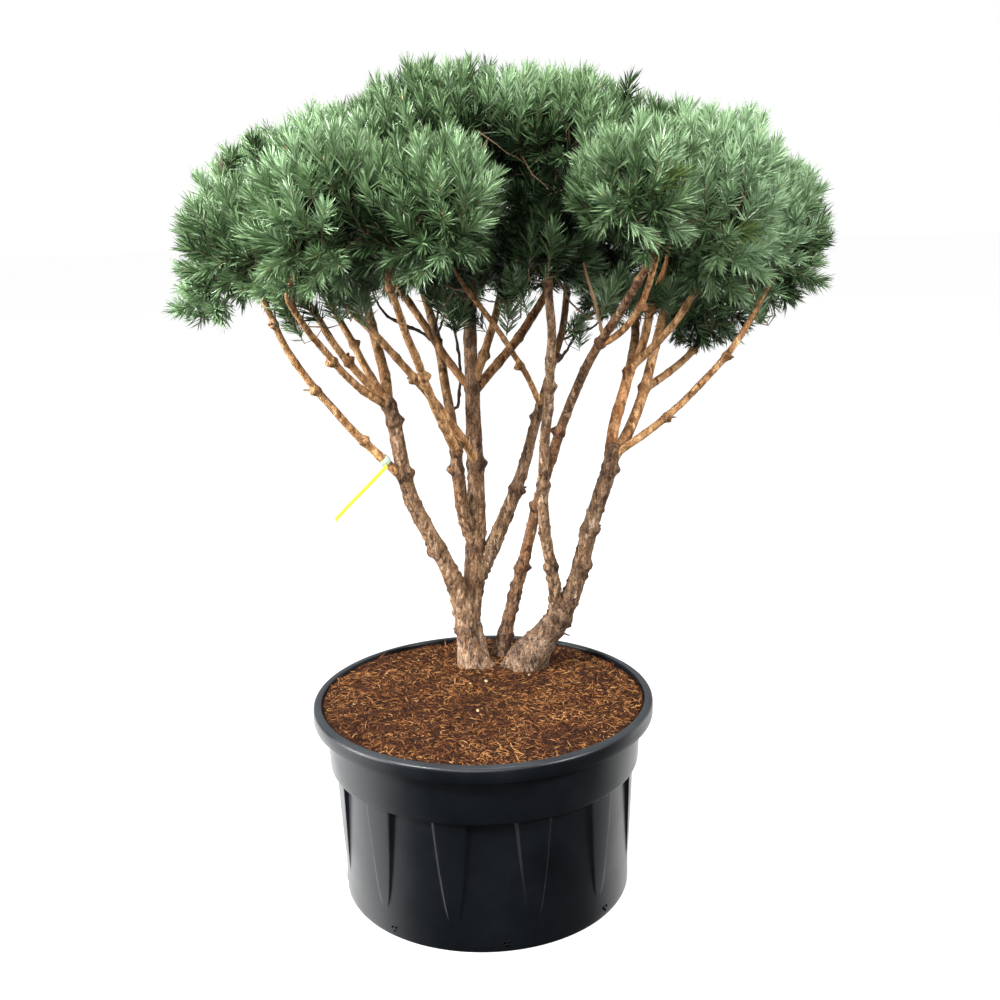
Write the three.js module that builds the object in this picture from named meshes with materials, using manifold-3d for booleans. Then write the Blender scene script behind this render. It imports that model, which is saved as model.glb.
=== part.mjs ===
// Multi-stemmed Scots pine with an umbrella crown, standing in a round nursery
// container. Millimetres, +Z up, the origin at the middle of the container's
// flat underside, -Y towards the side with the leaning front stem.
import * as THREE from 'three';
import { mergeVertices } from 'three/addons/utils/BufferGeometryUtils.js';
import Module from 'manifold-3d';

const wasm = await Module();
wasm.setup();

// ---------------------------------------------------------------- sizes
const GAP = 0.3;               // clearance between neighbouring pieces

const POT_HEIGHT = 461;
const RIM_OUTER_R = 390;       // widest part of the turned-down rim
const RIM_TOP_R = 386;
const RIM_INNER_R = 370;
const RIM_BAND = 36;           // height of the rim's skirt
const SHOULDER_R = 361;        // smooth band below the rim
const SHOULDER_LOW_R = 356;
const STEP_Z = 317;            // where the shoulder steps in to the ribbed wall
const WALL_TOP_R = 334;
const BASE_R = 333;
const WALL = 6;                // thickness of the wall
const FLOOR = 8;
const RIBS = 12;               // raised ribs on the wall, wide above, running out below
const RIB_PHASE = -103;        // degrees, middle of the first rib
const RIB_TOP_R = 345;         // a rib's face just under the shoulder
const RIB_TOP_W = 72;
const RIB_LOW_W = 14;
const RIB_SIDE_W = 11;         // how far its sloping sides reach past its face
const RIB_LOW_Z = 78;

const SOIL_TOP = 460;          // level disc of mulch the stems rise from
const SOIL_LEVEL_R = 262;
const SOIL_EDGE = 447;

const LIMB_SIDES = 6;
const LIMB_STEP = 124;         // length of one segment of a limb

// Main stems and boughs. Each is one tapering limb on a cubic curve:
// name, what it grows from, where on it (0 foot, 1 end; or a foot point),
// its end, its bend a third of the way up and two thirds of the way up,
// its diameters at the two ends, and the foliage pad it ends in. The long
// stems also have a bend at their middle and a kink either side of it, and
// the rooted ones a flare: how much wider the foot is, and how far up it runs,
// then a crook just above it.
const LIMBS = [
  ['trunk_left', null, [-20, 183, 435], [-195, 30, 1145], [34, 19, 7], [17, 9, 6], 38, 29, null, [-41, -5, -9], [32, -2, 11], 1.2, 0.2, [-13, 0, 0]],
  ['trunk_centre', 'trunk_left', 0.17, [-2, 220, 1364], [20, 13, 3], [-3, -2, -1], 50, 22, 'pad_centre_back_low'],
  ['trunk_right', null, [97, 166, 430], [307, 70, 1022], [-26, 5, 13], [36, 0, -12], 40, 29, null, [25, -2, -14], [39, -2, -17], 1.5, 0.2],
  ['stem_leaning', null, [36, 220, 435], [352, -270, 1472], [-5, 75, 26], [21, 67, 38], 29, 12, 'pad_right_front', [-30, 3, 8], [15, -1, -8], 0.5, 0.07],
  ['stem_centre_left', 'trunk_centre', 0.24, [-46, 120, 1022], [-11, 6, -1], [-6, 0, 0], 34, 25, null],
  ['stem_middle', 'trunk_centre', 0.13, [151, 170, 1101], [14, 13, -4], [6, -2, -3], 41, 19, null],
  ['stem_front', 'trunk_right', 0.245, [159, -110, 1428], [42, 13, -2], [-3, 5, 1], 29, 12, 'pad_top_right', [-49, -4, 1], [-34, -3, 0]],
  ['bough_left_outer', 'trunk_left', 0.73, [-425, -120, 1389], [-14, 8, -5], [-24, 1, -10], 21, 10, 'pad_left_outer'],
  ['bough_left_low', 'trunk_left', 0.98, [-350, -270, 1389], [-11, -3, -11], [-10, 3, -2], 18, 10, 'pad_left_front'],
  ['bough_left_mid', 'trunk_left', 0.99, [-344, -60, 1375], [-4, -1, -6], [-7, 1, -3], 18, 10, 'pad_top_left'],
  ['bough_left_upper', 'trunk_left', 1.0, [-321, 180, 1342], [-2, 0, -3], [0, 1, 0], 18, 11, 'pad_back_left_outer'],
  ['bough_left_back', 'trunk_left', 0.99, [-261, 360, 1371], [8, 1, -1], [-5, 1, -3], 24, 19, 'pad_back_left'],
  ['bough_front_left', 'stem_centre_left', 0.94, [-159, -280, 1425], [-5, 1, 1], [-6, 6, 4], 23, 11, 'pad_centre_left'],
  ['bough_back_left', 'stem_centre_left', 0.96, [-132, 440, 1386], [5, 0, -4], [7, 3, 1], 23, 17, 'pad_back_left'],
  ['bough_long_left', 'trunk_centre', 0.5, [-295, -20, 1387], [23, -37, -5], [8, -3, 5], 21, 11, 'pad_top_left'],
  ['bough_centre_left', 'trunk_centre', 0.71, [-166, 240, 1371], [-5, -7, -1], [0, 1, -1], 19, 14, 'pad_top'],
  ['bough_centre_up', 'trunk_centre', 0.72, [69, 200, 1364], [3, -8, 1], [3, 1, -1], 21, 14, 'pad_centre_low'],
  ['bough_centre_right', 'trunk_centre', 0.7, [186, 400, 1352], [2, -6, -1], [9, 2, -7], 23, 17, 'pad_back_centre'],
  ['bough_crossing', 'stem_middle', 1.0, [-4, -40, 1380], [5, 2, 7], [3, 2, 3], 14, 9, 'pad_centre_left'],
  ['bough_middle_back', 'stem_middle', 0.98, [238, 460, 1353], [4, 2, -1], [8, 1, -8], 19, 15, 'pad_back_right'],
  ['bough_leaning_side', 'stem_leaning', 0.75, [365, -220, 1465], [22, -1, -12], [8, 1, -3], 15, 10, 'pad_right_front'],
  ['bough_right_inner', 'trunk_right', 0.94, [356, 140, 1186], [-8, -5, 0], [-1, 1, 0], 27, 23, null],
  ['bough_right_back', 'bough_right_inner', 0.96, [413, 460, 1309], [3, 3, -4], [1, 0, -2], 21, 18, 'pad_back_right'],
  ['bough_right_up', 'bough_right_inner', 0.98, [415, 100, 1377], [10, 1, -4], [-4, 0, 1], 21, 13, 'pad_top_right_outer'],
  ['bough_right_low', 'bough_right_inner', 1.0, [466, 20, 1342], [8, 1, 1], [3, 0, -3], 18, 13, 'pad_right_mid'],
  ['bough_right_mid', 'trunk_right', 0.94, [454, 240, 1333], [15, -5, -7], [5, 1, -2], 27, 14, 'pad_back_right_outer'],
  ['bough_right_rear', 'bough_right_mid', 0.46, [619, 420, 1288], [3, 15, -14], [10, -3, -11], 19, 12, 'pad_right_low'],
  ['bough_right_outer', 'trunk_right', 0.96, [623, 50, 1322], [12, -4, -9], [16, 1, -14], 18, 11, 'pad_right_outer'],
];

// Foliage pads: name, centre, half sizes, seed of its lumps.
const PADS = [
  ['pad_centre_left', [-51, -330, 1561], [133, 190, 155], 3],
  ['pad_left_front', [-280, -270, 1558], [152, 200, 191], 7],
  ['pad_right_front', [312, -300, 1590], [138, 200, 145], 5],
  ['pad_right_mid', [527, -60, 1541], [135, 200, 214], 11],
  ['pad_left_outer', [-499, -20, 1497], [131, 220, 168], 13],
  ['pad_right_outer', [705, 170, 1475], [116, 200, 183], 17],
  ['pad_top', [-41, 120, 1728], [211, 240, 149], 19],
  ['pad_top_right', [198, 60, 1712], [155, 215, 137], 23],
  ['pad_top_left', [-236, 80, 1667], [176, 225, 118], 29],
  ['pad_top_right_outer', [418, 200, 1667], [146, 210, 128], 31],
  ['pad_centre_low', [178, 130, 1448], [136, 150, 116], 37],
  ['pad_centre_back_low', [-44, 330, 1418], [141, 165, 124], 41],
  ['pad_right_low', [567, 300, 1316], [144, 175, 125], 43],
  ['pad_back_left_outer', [-490, 360, 1527], [158, 215, 214], 47],
  ['pad_back_left', [-253, 510, 1532], [160, 225, 222], 53],
  ['pad_back_centre', [44, 580, 1535], [165, 200, 232], 59],
  ['pad_back_right', [354, 530, 1486], [154, 215, 262], 61],
  ['pad_back_right_outer', [595, 470, 1497], [146, 205, 205], 67],
];
const PAD_DETAIL = 2;          // subdivision of the pads' starting shape

// Blank plant label: a strip hung from a soft band round the outer left bough.
const LABEL_ON = 'bough_left_outer';
const LABEL_AT = 0.1;
const LABEL_BAND_R = 14;
const LABEL_BAND_TUBE = 3;
const LABEL_LENGTH = 168;
const LABEL_WIDTH = 24;
const LABEL_THICK = 1.6;

// ---------------------------------------------------------------- materials
const plastic = new THREE.MeshStandardMaterial({ color: 0x1e2224, roughness: 0.42, metalness: 0 });
const mulch = new THREE.MeshStandardMaterial({ color: 0x7a4726, roughness: 0.95, metalness: 0 });
const bark = new THREE.MeshStandardMaterial({ color: 0x8a6448, roughness: 0.85, metalness: 0 });
const barkUpper = new THREE.MeshStandardMaterial({ color: 0xa4703f, roughness: 0.8, metalness: 0 });
const needles = new THREE.MeshStandardMaterial({ color: 0x567c60, roughness: 0.75, metalness: 0 });
const labelYellow = new THREE.MeshStandardMaterial({ color: 0xf2e21a, roughness: 0.5, metalness: 0 });
const labelBand = new THREE.MeshStandardMaterial({ color: 0xb9cdb8, roughness: 0.55, metalness: 0 });

// ---------------------------------------------------------------- helpers
const v3 = (a) => new THREE.Vector3(a[0], a[1], a[2]);

function randomFrom(seed) {
  let s = seed >>> 0;
  return () => {
    s = (s + 0x6d2b79f5) >>> 0;
    let t = Math.imul(s ^ (s >>> 15), 1 | s);
    t = (t + Math.imul(t ^ (t >>> 7), 61 | t)) ^ t;
    return ((t ^ (t >>> 14)) >>> 0) / 4294967296;
  };
}

function toSolid(geometry) {
  const g = geometry.clone();
  for (const name of Object.keys(g.attributes)) if (name !== 'position') g.deleteAttribute(name);
  const m = mergeVertices(g, 1e-3);
  return new wasm.Manifold(new wasm.Mesh({
    numProp: 3,
    vertProperties: new Float32Array(m.attributes.position.array),
    triVerts: new Uint32Array(m.index.array),
  }));
}

function fromSolid(solid) {
  const mesh = solid.getMesh();
  const g = new THREE.BufferGeometry();
  g.setAttribute('position', new THREE.BufferAttribute(new Float32Array(mesh.vertProperties), 3));
  g.setIndex(new THREE.BufferAttribute(new Uint32Array(mesh.triVerts), 1));
  g.computeVertexNormals();
  return g;
}

function largest(solid) {
  let best = null;
  for (const piece of solid.decompose()) {
    if (!best || piece.volume() > best.volume()) best = piece;
  }
  return best;
}

const group = new THREE.Group();
function add(name, geometry, material) {
  const mesh = new THREE.Mesh(geometry, material);
  mesh.name = name;
  group.add(mesh);
  return mesh;
}

// ---------------------------------------------------------------- container
{
  const wallInner = (z) => THREE.MathUtils.lerp(BASE_R, WALL_TOP_R, z / STEP_Z) - WALL;
  const profile = [
    [0, 0], [BASE_R - 5, 0], [BASE_R, 5],
    [WALL_TOP_R, STEP_Z - 6], [SHOULDER_LOW_R, STEP_Z],
    [SHOULDER_R, POT_HEIGHT - RIM_BAND + 3],
    [RIM_OUTER_R - 2, POT_HEIGHT - RIM_BAND], [RIM_OUTER_R, POT_HEIGHT - 14],
    [RIM_OUTER_R - 1, POT_HEIGHT - 5], [RIM_TOP_R - 3, POT_HEIGHT],
    [RIM_INNER_R + 3, POT_HEIGHT], [RIM_INNER_R, POT_HEIGHT - 3],
    [RIM_INNER_R - 14, SOIL_EDGE - 30], [SHOULDER_LOW_R - WALL, STEP_Z + 8],
    [wallInner(STEP_Z), STEP_Z + 1], [wallInner(FLOOR), FLOOR], [0, FLOOR],
  ].map(([r, z]) => new THREE.Vector2(r, z));
  const lathe = new THREE.LatheGeometry(profile, 36);
  lathe.rotateX(Math.PI / 2);
  let pot = toSolid(lathe);

  // tapering ribs that stand proud of the wall below the shoulder
  for (let i = 0; i < RIBS; i += 1) {
    const a = THREE.MathUtils.degToRad(RIB_PHASE + (360 / RIBS) * i);
    const high = STEP_Z - 1;
    const shape = new THREE.Shape([
      new THREE.Vector2(-1, -1), new THREE.Vector2(1, -1),
      new THREE.Vector2(1, 1), new THREE.Vector2(-1, 1),
    ]);
    const rib = new THREE.ExtrudeGeometry(shape, { depth: 1, bevelEnabled: false });
    // shape: x across, y -1 inside the wall and 1 on the rib's face, z up
    const p = rib.attributes.position;
    for (let k = 0; k < p.count; k += 1) {
      const up = p.getZ(k);
      const z = THREE.MathUtils.lerp(RIB_LOW_Z, high, up);
      const wallR = THREE.MathUtils.lerp(BASE_R, WALL_TOP_R, (z - 5) / (STEP_Z - 11));
      const face = p.getY(k) > 0;
      const half = THREE.MathUtils.lerp(RIB_LOW_W, RIB_TOP_W, up) / 2 + (face ? 0 : RIB_SIDE_W * (0.4 + 0.6 * up));
      const r = face ? THREE.MathUtils.lerp(wallR + 0.6, RIB_TOP_R, up) : wallR - 5;
      p.setXYZ(k, p.getX(k) * half, r, z);
    }
    rib.rotateZ(a - Math.PI / 2);
    pot = pot.add(toSolid(rib));
  }
  add('pot', fromSolid(pot), plastic);

  const soilProfile = [
    [0, FLOOR + GAP], [wallInner(FLOOR) - 2 * GAP, FLOOR + GAP],
    [wallInner(STEP_Z) - 2 * GAP, STEP_Z + 1 + GAP], [SHOULDER_LOW_R - WALL - 2 * GAP, STEP_Z + 8 + 2 * GAP],
    [RIM_INNER_R - 14 - 3 * GAP, SOIL_EDGE - 30], [RIM_INNER_R - 8, SOIL_EDGE],
    [SOIL_LEVEL_R, SOIL_TOP], [0, SOIL_TOP],
  ].map(([r, z]) => new THREE.Vector2(r, z));
  const soil = new THREE.LatheGeometry(soilProfile, 36);
  soil.rotateX(Math.PI / 2);
  add('soil', fromSolid(toSolid(soil)), mulch);
}

// ---------------------------------------------------------------- pads
// A pad is a squarish ellipsoid, flatter below, with soft lumps over it.
function padGeometry([, centre, half, seed], grow = 0) {
  const rnd = randomFrom(seed * 977);
  const lumps = [];
  for (let i = 0; i < 11; i += 1) {
    const z = rnd() * 2 - 0.85;
    const a = rnd() * Math.PI * 2;
    const r = Math.sqrt(Math.max(0, 1 - Math.min(1, z * z)));
    lumps.push([new THREE.Vector3(r * Math.cos(a), r * Math.sin(a), z).normalize(), (rnd() - 0.45) * 0.62, 0.2 + rnd() * 0.26]);
  }
  const g = new THREE.IcosahedronGeometry(1, PAD_DETAIL);
  const p = g.attributes.position;
  const d = new THREE.Vector3();
  for (let k = 0; k < p.count; k += 1) {
    d.fromBufferAttribute(p, k).normalize();
    const e = 2.25;
    let r = Math.pow(Math.abs(d.x) ** e + Math.abs(d.y) ** e + Math.abs(d.z) ** e, -1 / e);
    for (const [dir, amp, width] of lumps) r += amp * Math.exp(-(((1 - d.dot(dir)) / width) ** 2) * 4);
    p.setXYZ(k, d.x * r, d.y * r, d.z * r);
  }
  // the lumpy form fills its stated half sizes exactly
  const box = new THREE.Box3().setFromBufferAttribute(p);
  const mid = box.getCenter(new THREE.Vector3());
  const span = box.getSize(new THREE.Vector3()).multiplyScalar(0.5);
  for (let k = 0; k < p.count; k += 1) {
    d.fromBufferAttribute(p, k).sub(mid).divide(span);
    p.setXYZ(k, centre[0] + d.x * (half[0] + grow), centre[1] + d.y * (half[1] + grow), centre[2] + d.z * (half[2] + grow));
  }
  return g;
}

const padSolids = new Map();
const padEnvelopes = [];
for (const row of PADS) {
  let solid = toSolid(padGeometry(row));
  for (const other of padEnvelopes) solid = solid.subtract(other);
  solid = largest(solid);
  padSolids.set(row[0], solid);
  padEnvelopes.push(toSolid(padGeometry(row, 2 * GAP)));
}

// ---------------------------------------------------------------- limbs
const limbByName = new Map(LIMBS.map((row) => [row[0], row]));
const padByName = new Map(PADS.map((row) => [row[0], row]));

function limbPoint(row, t) {
  const [, parent, from, tip, low, high] = row;
  const start = parent ? limbPoint(limbByName.get(parent), from) : v3(from);
  const b1 = 6.75 * t * (1 - t) ** 2;
  const b2 = 6.75 * t * t * (1 - t);
  const b3 = 16 * t * t * (1 - t) ** 2;
  const point = start.lerp(v3(tip), t).addScaledVector(v3(low), b1).addScaledVector(v3(high), b2);
  if (row[9]) point.addScaledVector(v3(row[9]), b3).addScaledVector(v3(row[10]), 2 * b3 * (1 - 2 * t));
  if (row[13]) point.addScaledVector(v3(row[13]), 149 * t * t * (1 - t) ** 8);
  return point;
}

// the limb's centre line, run on in a soft bend to the heart of its pad
function limbPath(row) {
  const points = [];
  const spans = 6;
  for (let i = 0; i <= spans; i += 1) points.push(limbPoint(row, i / spans));
  const pad = padByName.get(row[8]);
  if (pad) {
    const tip = points[spans];
    const along = tip.clone().sub(limbPoint(row, 0.94)).normalize();
    const heart = v3([pad[1][0], pad[1][1], pad[1][2] - 0.3 * pad[2][2]]);
    const reach = tip.distanceTo(heart);
    const knee = tip.clone().addScaledVector(along, reach * 0.45);
    for (let i = 1; i <= 3; i += 1) {
      const t = i / 3;
      points.push(tip.clone().multiplyScalar((1 - t) ** 2).addScaledVector(knee, 2 * t * (1 - t)).addScaledVector(heart, t * t));
    }
  }
  return new THREE.CatmullRomCurve3(points, false, 'centripetal');
}

function limbGeometry(row, grow = 0) {
  const curve = limbPath(row);
  const length = curve.getLength();
  const rooted = row[1] === null;
  const segments = Math.max(3, Math.round(length / (rooted ? LIMB_STEP * 0.75 : LIMB_STEP)));
  const frames = curve.computeFrenetFrames(segments, false);
  const spots = curve.getSpacedPoints(segments);
  const sides = rooted ? LIMB_SIDES + 2 : LIMB_SIDES;
  const g = new THREE.CylinderGeometry(1, 1, 1, sides, segments);
  const p = g.attributes.position;
  const q = new THREE.Vector3();
  for (let k = 0; k < p.count; k += 1) {
    const i = Math.round((p.getY(k) + 0.5) * segments);
    const t = i / segments;
    let r = THREE.MathUtils.lerp(row[6], row[7], rooted ? t : t ** 0.8) / 2;
    if (rooted) r *= 1 + row[11] * Math.exp(-((t / row[12]) ** 1.5));
    r += grow;
    q.copy(spots[i]).addScaledVector(frames.normals[i], p.getX(k) * r).addScaledVector(frames.binormals[i], -p.getZ(k) * r);
    p.setXYZ(k, q.x, q.y, q.z);
  }
  return g;
}

const ground = toSolid(new THREE.BoxGeometry(2000, 2000, 400).translate(0, 0, SOIL_TOP + GAP - 200));
const padSkins = PADS.map((row) => toSolid(padGeometry(row, GAP)));
const limbSkins = [];
for (const row of LIMBS) {
  let solid = toSolid(limbGeometry(row)).subtract(ground);
  for (const skin of limbSkins) solid = solid.subtract(skin);
  for (const skin of padSkins) solid = solid.subtract(skin);
  solid = largest(solid);
  limbSkins.push(toSolid(limbGeometry(row, GAP)));
  add(row[0], fromSolid(solid), row[6] > 28 ? bark : barkUpper);
}
for (const row of PADS) add(row[0], fromSolid(padSolids.get(row[0])), needles);

// ---------------------------------------------------------------- label
{
  const curve = limbPath(limbByName.get(LABEL_ON));
  const at = curve.getPointAt(LABEL_AT);
  const along = curve.getTangentAt(LABEL_AT);
  const band = new THREE.TorusGeometry(LABEL_BAND_R, LABEL_BAND_TUBE, 5, 12);
  band.applyQuaternion(new THREE.Quaternion().setFromUnitVectors(new THREE.Vector3(0, 0, 1), along));
  band.translate(at.x, at.y, at.z);
  add('label_band', band, labelBand);

  const down = new THREE.Vector3(-0.7, -0.12, -0.7).normalize();
  const strip = new THREE.BoxGeometry(LABEL_LENGTH, LABEL_WIDTH, LABEL_THICK);
  const side = new THREE.Vector3(0.1, -1, 0.12);
  const flat = new THREE.Vector3().crossVectors(down, side).normalize();
  side.crossVectors(flat, down).normalize();
  strip.applyMatrix4(new THREE.Matrix4().makeBasis(down, side, flat));
  const hang = at.clone().addScaledVector(down, 2 + LABEL_LENGTH / 2);
  hang.add(new THREE.Vector3(8, -LABEL_BAND_R - LABEL_BAND_TUBE - 9, -4));
  strip.translate(hang.x, hang.y, hang.z);
  add('label_strip', strip, labelYellow);
}

export default group;
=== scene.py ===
# Looks of a multi-stemmed Scots pine with an umbrella crown in a ribbed nursery
# container. Metres, +Z up, the origin under the container, -Y towards the viewer.
import math

import bmesh
import bpy
import numpy as np
from mathutils import Matrix
from mathutils.bvhtree import BVHTree


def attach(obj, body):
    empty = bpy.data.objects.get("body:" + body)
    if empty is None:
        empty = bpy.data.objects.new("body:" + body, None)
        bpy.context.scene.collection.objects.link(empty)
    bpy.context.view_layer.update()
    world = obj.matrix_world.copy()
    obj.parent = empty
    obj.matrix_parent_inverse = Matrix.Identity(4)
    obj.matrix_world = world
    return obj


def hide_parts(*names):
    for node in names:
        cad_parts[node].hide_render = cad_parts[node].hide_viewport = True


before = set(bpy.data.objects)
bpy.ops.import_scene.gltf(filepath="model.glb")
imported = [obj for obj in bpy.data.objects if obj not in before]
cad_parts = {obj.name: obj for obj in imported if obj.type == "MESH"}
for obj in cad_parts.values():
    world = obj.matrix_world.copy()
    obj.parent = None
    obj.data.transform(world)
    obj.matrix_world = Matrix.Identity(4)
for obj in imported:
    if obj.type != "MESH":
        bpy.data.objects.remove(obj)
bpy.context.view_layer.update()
rng = np.random.default_rng(4127)

# ------------------------------------------------------------------ camera
FOCAL_PX, DISTANCE, EYE = 1267.0, 2.73, 1.610
PITCH, YAW, ROLL = math.radians(14.20), math.radians(-1.04), math.radians(1.34)


def add_camera():
    ahead = np.array([-math.sin(YAW), math.cos(YAW), 0.0])
    side = np.array([math.cos(YAW), math.sin(YAW), 0.0])
    up = np.array([0.0, 0.0, 1.0])
    forward = math.cos(PITCH) * ahead - math.sin(PITCH) * up
    over = math.sin(PITCH) * ahead + math.cos(PITCH) * up
    x = math.cos(ROLL) * side - math.sin(ROLL) * over
    y = math.sin(ROLL) * side + math.cos(ROLL) * over
    data = bpy.data.cameras.new("camera")
    data.sensor_width = 36.0
    data.lens = FOCAL_PX / 1000.0 * 36.0
    data.clip_end = 60.0
    cam = bpy.data.objects.new("camera", data)
    bpy.context.scene.collection.objects.link(cam)
    m = np.eye(4)
    m[:3, 0], m[:3, 1], m[:3, 2], m[:3, 3] = x, y, -forward, (0.0, -DISTANCE, EYE)
    cam.matrix_world = Matrix(m.tolist())
    bpy.context.scene.camera = cam


add_camera()

# ------------------------------------------------------------------ the plant's sizes, mm
# name, parent, where on it (or foot), tip, low bend, high bend, diameters, pad,
# and for the long stems a middle bend and a kink, then flare and its reach, and a crook
LIMBS = [
    ("trunk_left", None, (-20, 183, 435), (-195, 30, 1145), (34, 19, 7), (17, 9, 6), 38, 29, None, (-41, -5, -9), (32, -2, 11), 1.2, 0.2, (-13, 0, 0)),
    ("trunk_centre", "trunk_left", 0.17, (-2, 220, 1364), (20, 13, 3), (-3, -2, -1), 50, 22, "pad_centre_back_low"),
    ("trunk_right", None, (97, 166, 430), (307, 70, 1022), (-26, 5, 13), (36, 0, -12), 40, 29, None, (25, -2, -14), (39, -2, -17), 1.5, 0.2),
    ("stem_leaning", None, (36, 220, 435), (352, -270, 1472), (-5, 75, 26), (21, 67, 38), 29, 12, "pad_right_front", (-30, 3, 8), (15, -1, -8), 0.5, 0.07),
    ("stem_centre_left", "trunk_centre", 0.24, (-46, 120, 1022), (-11, 6, -1), (-6, 0, 0), 34, 25, None),
    ("stem_middle", "trunk_centre", 0.13, (151, 170, 1101), (14, 13, -4), (6, -2, -3), 41, 19, None),
    ("stem_front", "trunk_right", 0.245, (159, -110, 1428), (42, 13, -2), (-3, 5, 1), 29, 12, "pad_top_right", (-49, -4, 1), (-34, -3, 0)),
    ("bough_left_outer", "trunk_left", 0.73, (-425, -120, 1389), (-14, 8, -5), (-24, 1, -10), 21, 10, "pad_left_outer"),
    ("bough_left_low", "trunk_left", 0.98, (-350, -270, 1389), (-11, -3, -11), (-10, 3, -2), 18, 10, "pad_left_front"),
    ("bough_left_mid", "trunk_left", 0.99, (-344, -60, 1375), (-4, -1, -6), (-7, 1, -3), 18, 10, "pad_top_left"),
    ("bough_left_upper", "trunk_left", 1.0, (-321, 180, 1342), (-2, 0, -3), (0, 1, 0), 18, 11, "pad_back_left_outer"),
    ("bough_left_back", "trunk_left", 0.99, (-261, 360, 1371), (8, 1, -1), (-5, 1, -3), 24, 19, "pad_back_left"),
    ("bough_front_left", "stem_centre_left", 0.94, (-159, -280, 1425), (-5, 1, 1), (-6, 6, 4), 23, 11, "pad_centre_left"),
    ("bough_back_left", "stem_centre_left", 0.96, (-132, 440, 1386), (5, 0, -4), (7, 3, 1), 23, 17, "pad_back_left"),
    ("bough_long_left", "trunk_centre", 0.5, (-295, -20, 1387), (23, -37, -5), (8, -3, 5), 21, 11, "pad_top_left"),
    ("bough_centre_left", "trunk_centre", 0.71, (-166, 240, 1371), (-5, -7, -1), (0, 1, -1), 19, 14, "pad_top"),
    ("bough_centre_up", "trunk_centre", 0.72, (69, 200, 1364), (3, -8, 1), (3, 1, -1), 21, 14, "pad_centre_low"),
    ("bough_centre_right", "trunk_centre", 0.7, (186, 400, 1352), (2, -6, -1), (9, 2, -7), 23, 17, "pad_back_centre"),
    ("bough_crossing", "stem_middle", 1.0, (-4, -40, 1380), (5, 2, 7), (3, 2, 3), 14, 9, "pad_centre_left"),
    ("bough_middle_back", "stem_middle", 0.98, (238, 460, 1353), (4, 2, -1), (8, 1, -8), 19, 15, "pad_back_right"),
    ("bough_leaning_side", "stem_leaning", 0.75, (365, -220, 1465), (22, -1, -12), (8, 1, -3), 15, 10, "pad_right_front"),
    ("bough_right_inner", "trunk_right", 0.94, (356, 140, 1186), (-8, -5, 0), (-1, 1, 0), 27, 23, None),
    ("bough_right_back", "bough_right_inner", 0.96, (413, 460, 1309), (3, 3, -4), (1, 0, -2), 21, 18, "pad_back_right"),
    ("bough_right_up", "bough_right_inner", 0.98, (415, 100, 1377), (10, 1, -4), (-4, 0, 1), 21, 13, "pad_top_right_outer"),
    ("bough_right_low", "bough_right_inner", 1.0, (466, 20, 1342), (8, 1, 1), (3, 0, -3), 18, 13, "pad_right_mid"),
    ("bough_right_mid", "trunk_right", 0.94, (454, 240, 1333), (15, -5, -7), (5, 1, -2), 27, 14, "pad_back_right_outer"),
    ("bough_right_rear", "bough_right_mid", 0.46, (619, 420, 1288), (3, 15, -14), (10, -3, -11), 19, 12, "pad_right_low"),
    ("bough_right_outer", "trunk_right", 0.96, (623, 50, 1322), (12, -4, -9), (16, 1, -14), 18, 11, "pad_right_outer"),
]
# centre and half sizes of each mass of foliage
PADS = {
    "pad_centre_left": ((-51, -330, 1561), (133, 190, 155)),
    "pad_left_front": ((-280, -270, 1558), (152, 200, 191)),
    "pad_right_front": ((312, -300, 1590), (138, 200, 145)),
    "pad_right_mid": ((527, -60, 1541), (135, 200, 214)),
    "pad_left_outer": ((-499, -20, 1497), (131, 220, 168)),
    "pad_right_outer": ((705, 170, 1475), (116, 200, 183)),
    "pad_top": ((-41, 120, 1728), (211, 240, 149)),
    "pad_top_right": ((198, 60, 1712), (155, 215, 137)),
    "pad_top_left": ((-236, 80, 1667), (176, 225, 118)),
    "pad_top_right_outer": ((418, 200, 1667), (146, 210, 128)),
    "pad_centre_low": ((178, 130, 1448), (136, 150, 116)),
    "pad_centre_back_low": ((-44, 330, 1418), (141, 165, 124)),
    "pad_right_low": ((567, 300, 1316), (144, 175, 125)),
    "pad_back_left_outer": ((-490, 360, 1527), (158, 215, 214)),
    "pad_back_left": ((-253, 510, 1532), (160, 225, 222)),
    "pad_back_centre": ((44, 580, 1535), (165, 200, 232)),
    "pad_back_right": ((354, 530, 1486), (154, 215, 262)),
    "pad_back_right_outer": ((595, 470, 1497), (146, 205, 205)),
}
# whorl knobs: how far along the limb in metres, and to which side they swell most
KNOBS = {
    "trunk_left": ((0.567, 1.2), (0.354, -1.3), (0.70, 0.6)),
    "bough_left_outer": ((0.142, 0.4), (0.309, -0.9), (0.492, 0)),
    "bough_left_low": ((0.222, -1),), "bough_left_mid": ((0.132, 1),), "bough_left_upper": ((0.162, 1),),
    "stem_centre_left": ((0.215, -1.3),), "bough_front_left": ((0.283, 1), (0.575, 0)), "bough_back_left": ((0.298, 0),),
    "bough_long_left": ((0.302, -1), (0.493, 0)), "trunk_centre": ((0.398, 1.1), (0.579, 0)), "bough_centre_right": ((0.193, 0),),
    "bough_centre_up": ((0.082, 1),), "bough_crossing": ((0.131, -1),), "stem_middle": ((0.253, 1), (0.435, -0.6)),
    "bough_middle_back": ((0.168, 0),), "stem_leaning": ((0.277, 0.8), (0.443, -0.8), (0.659, -0.9), (0.931, 0)),
    "bough_leaning_side": ((0.143, 1),), "stem_front": ((0.166, -0.8), (0.388, 0.6), (0.635, 0.5)),
    "trunk_right": ((0.34, 1.2), (0.431, 0.6), (0.588, 1.2), (0.19, 1.0)), "bough_right_mid": ((0.192, -0.6),),
    "bough_right_rear": ((0.223, 0),), "bough_right_outer": ((0.152, 0.6), (0.34, 0.4)),
}
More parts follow.
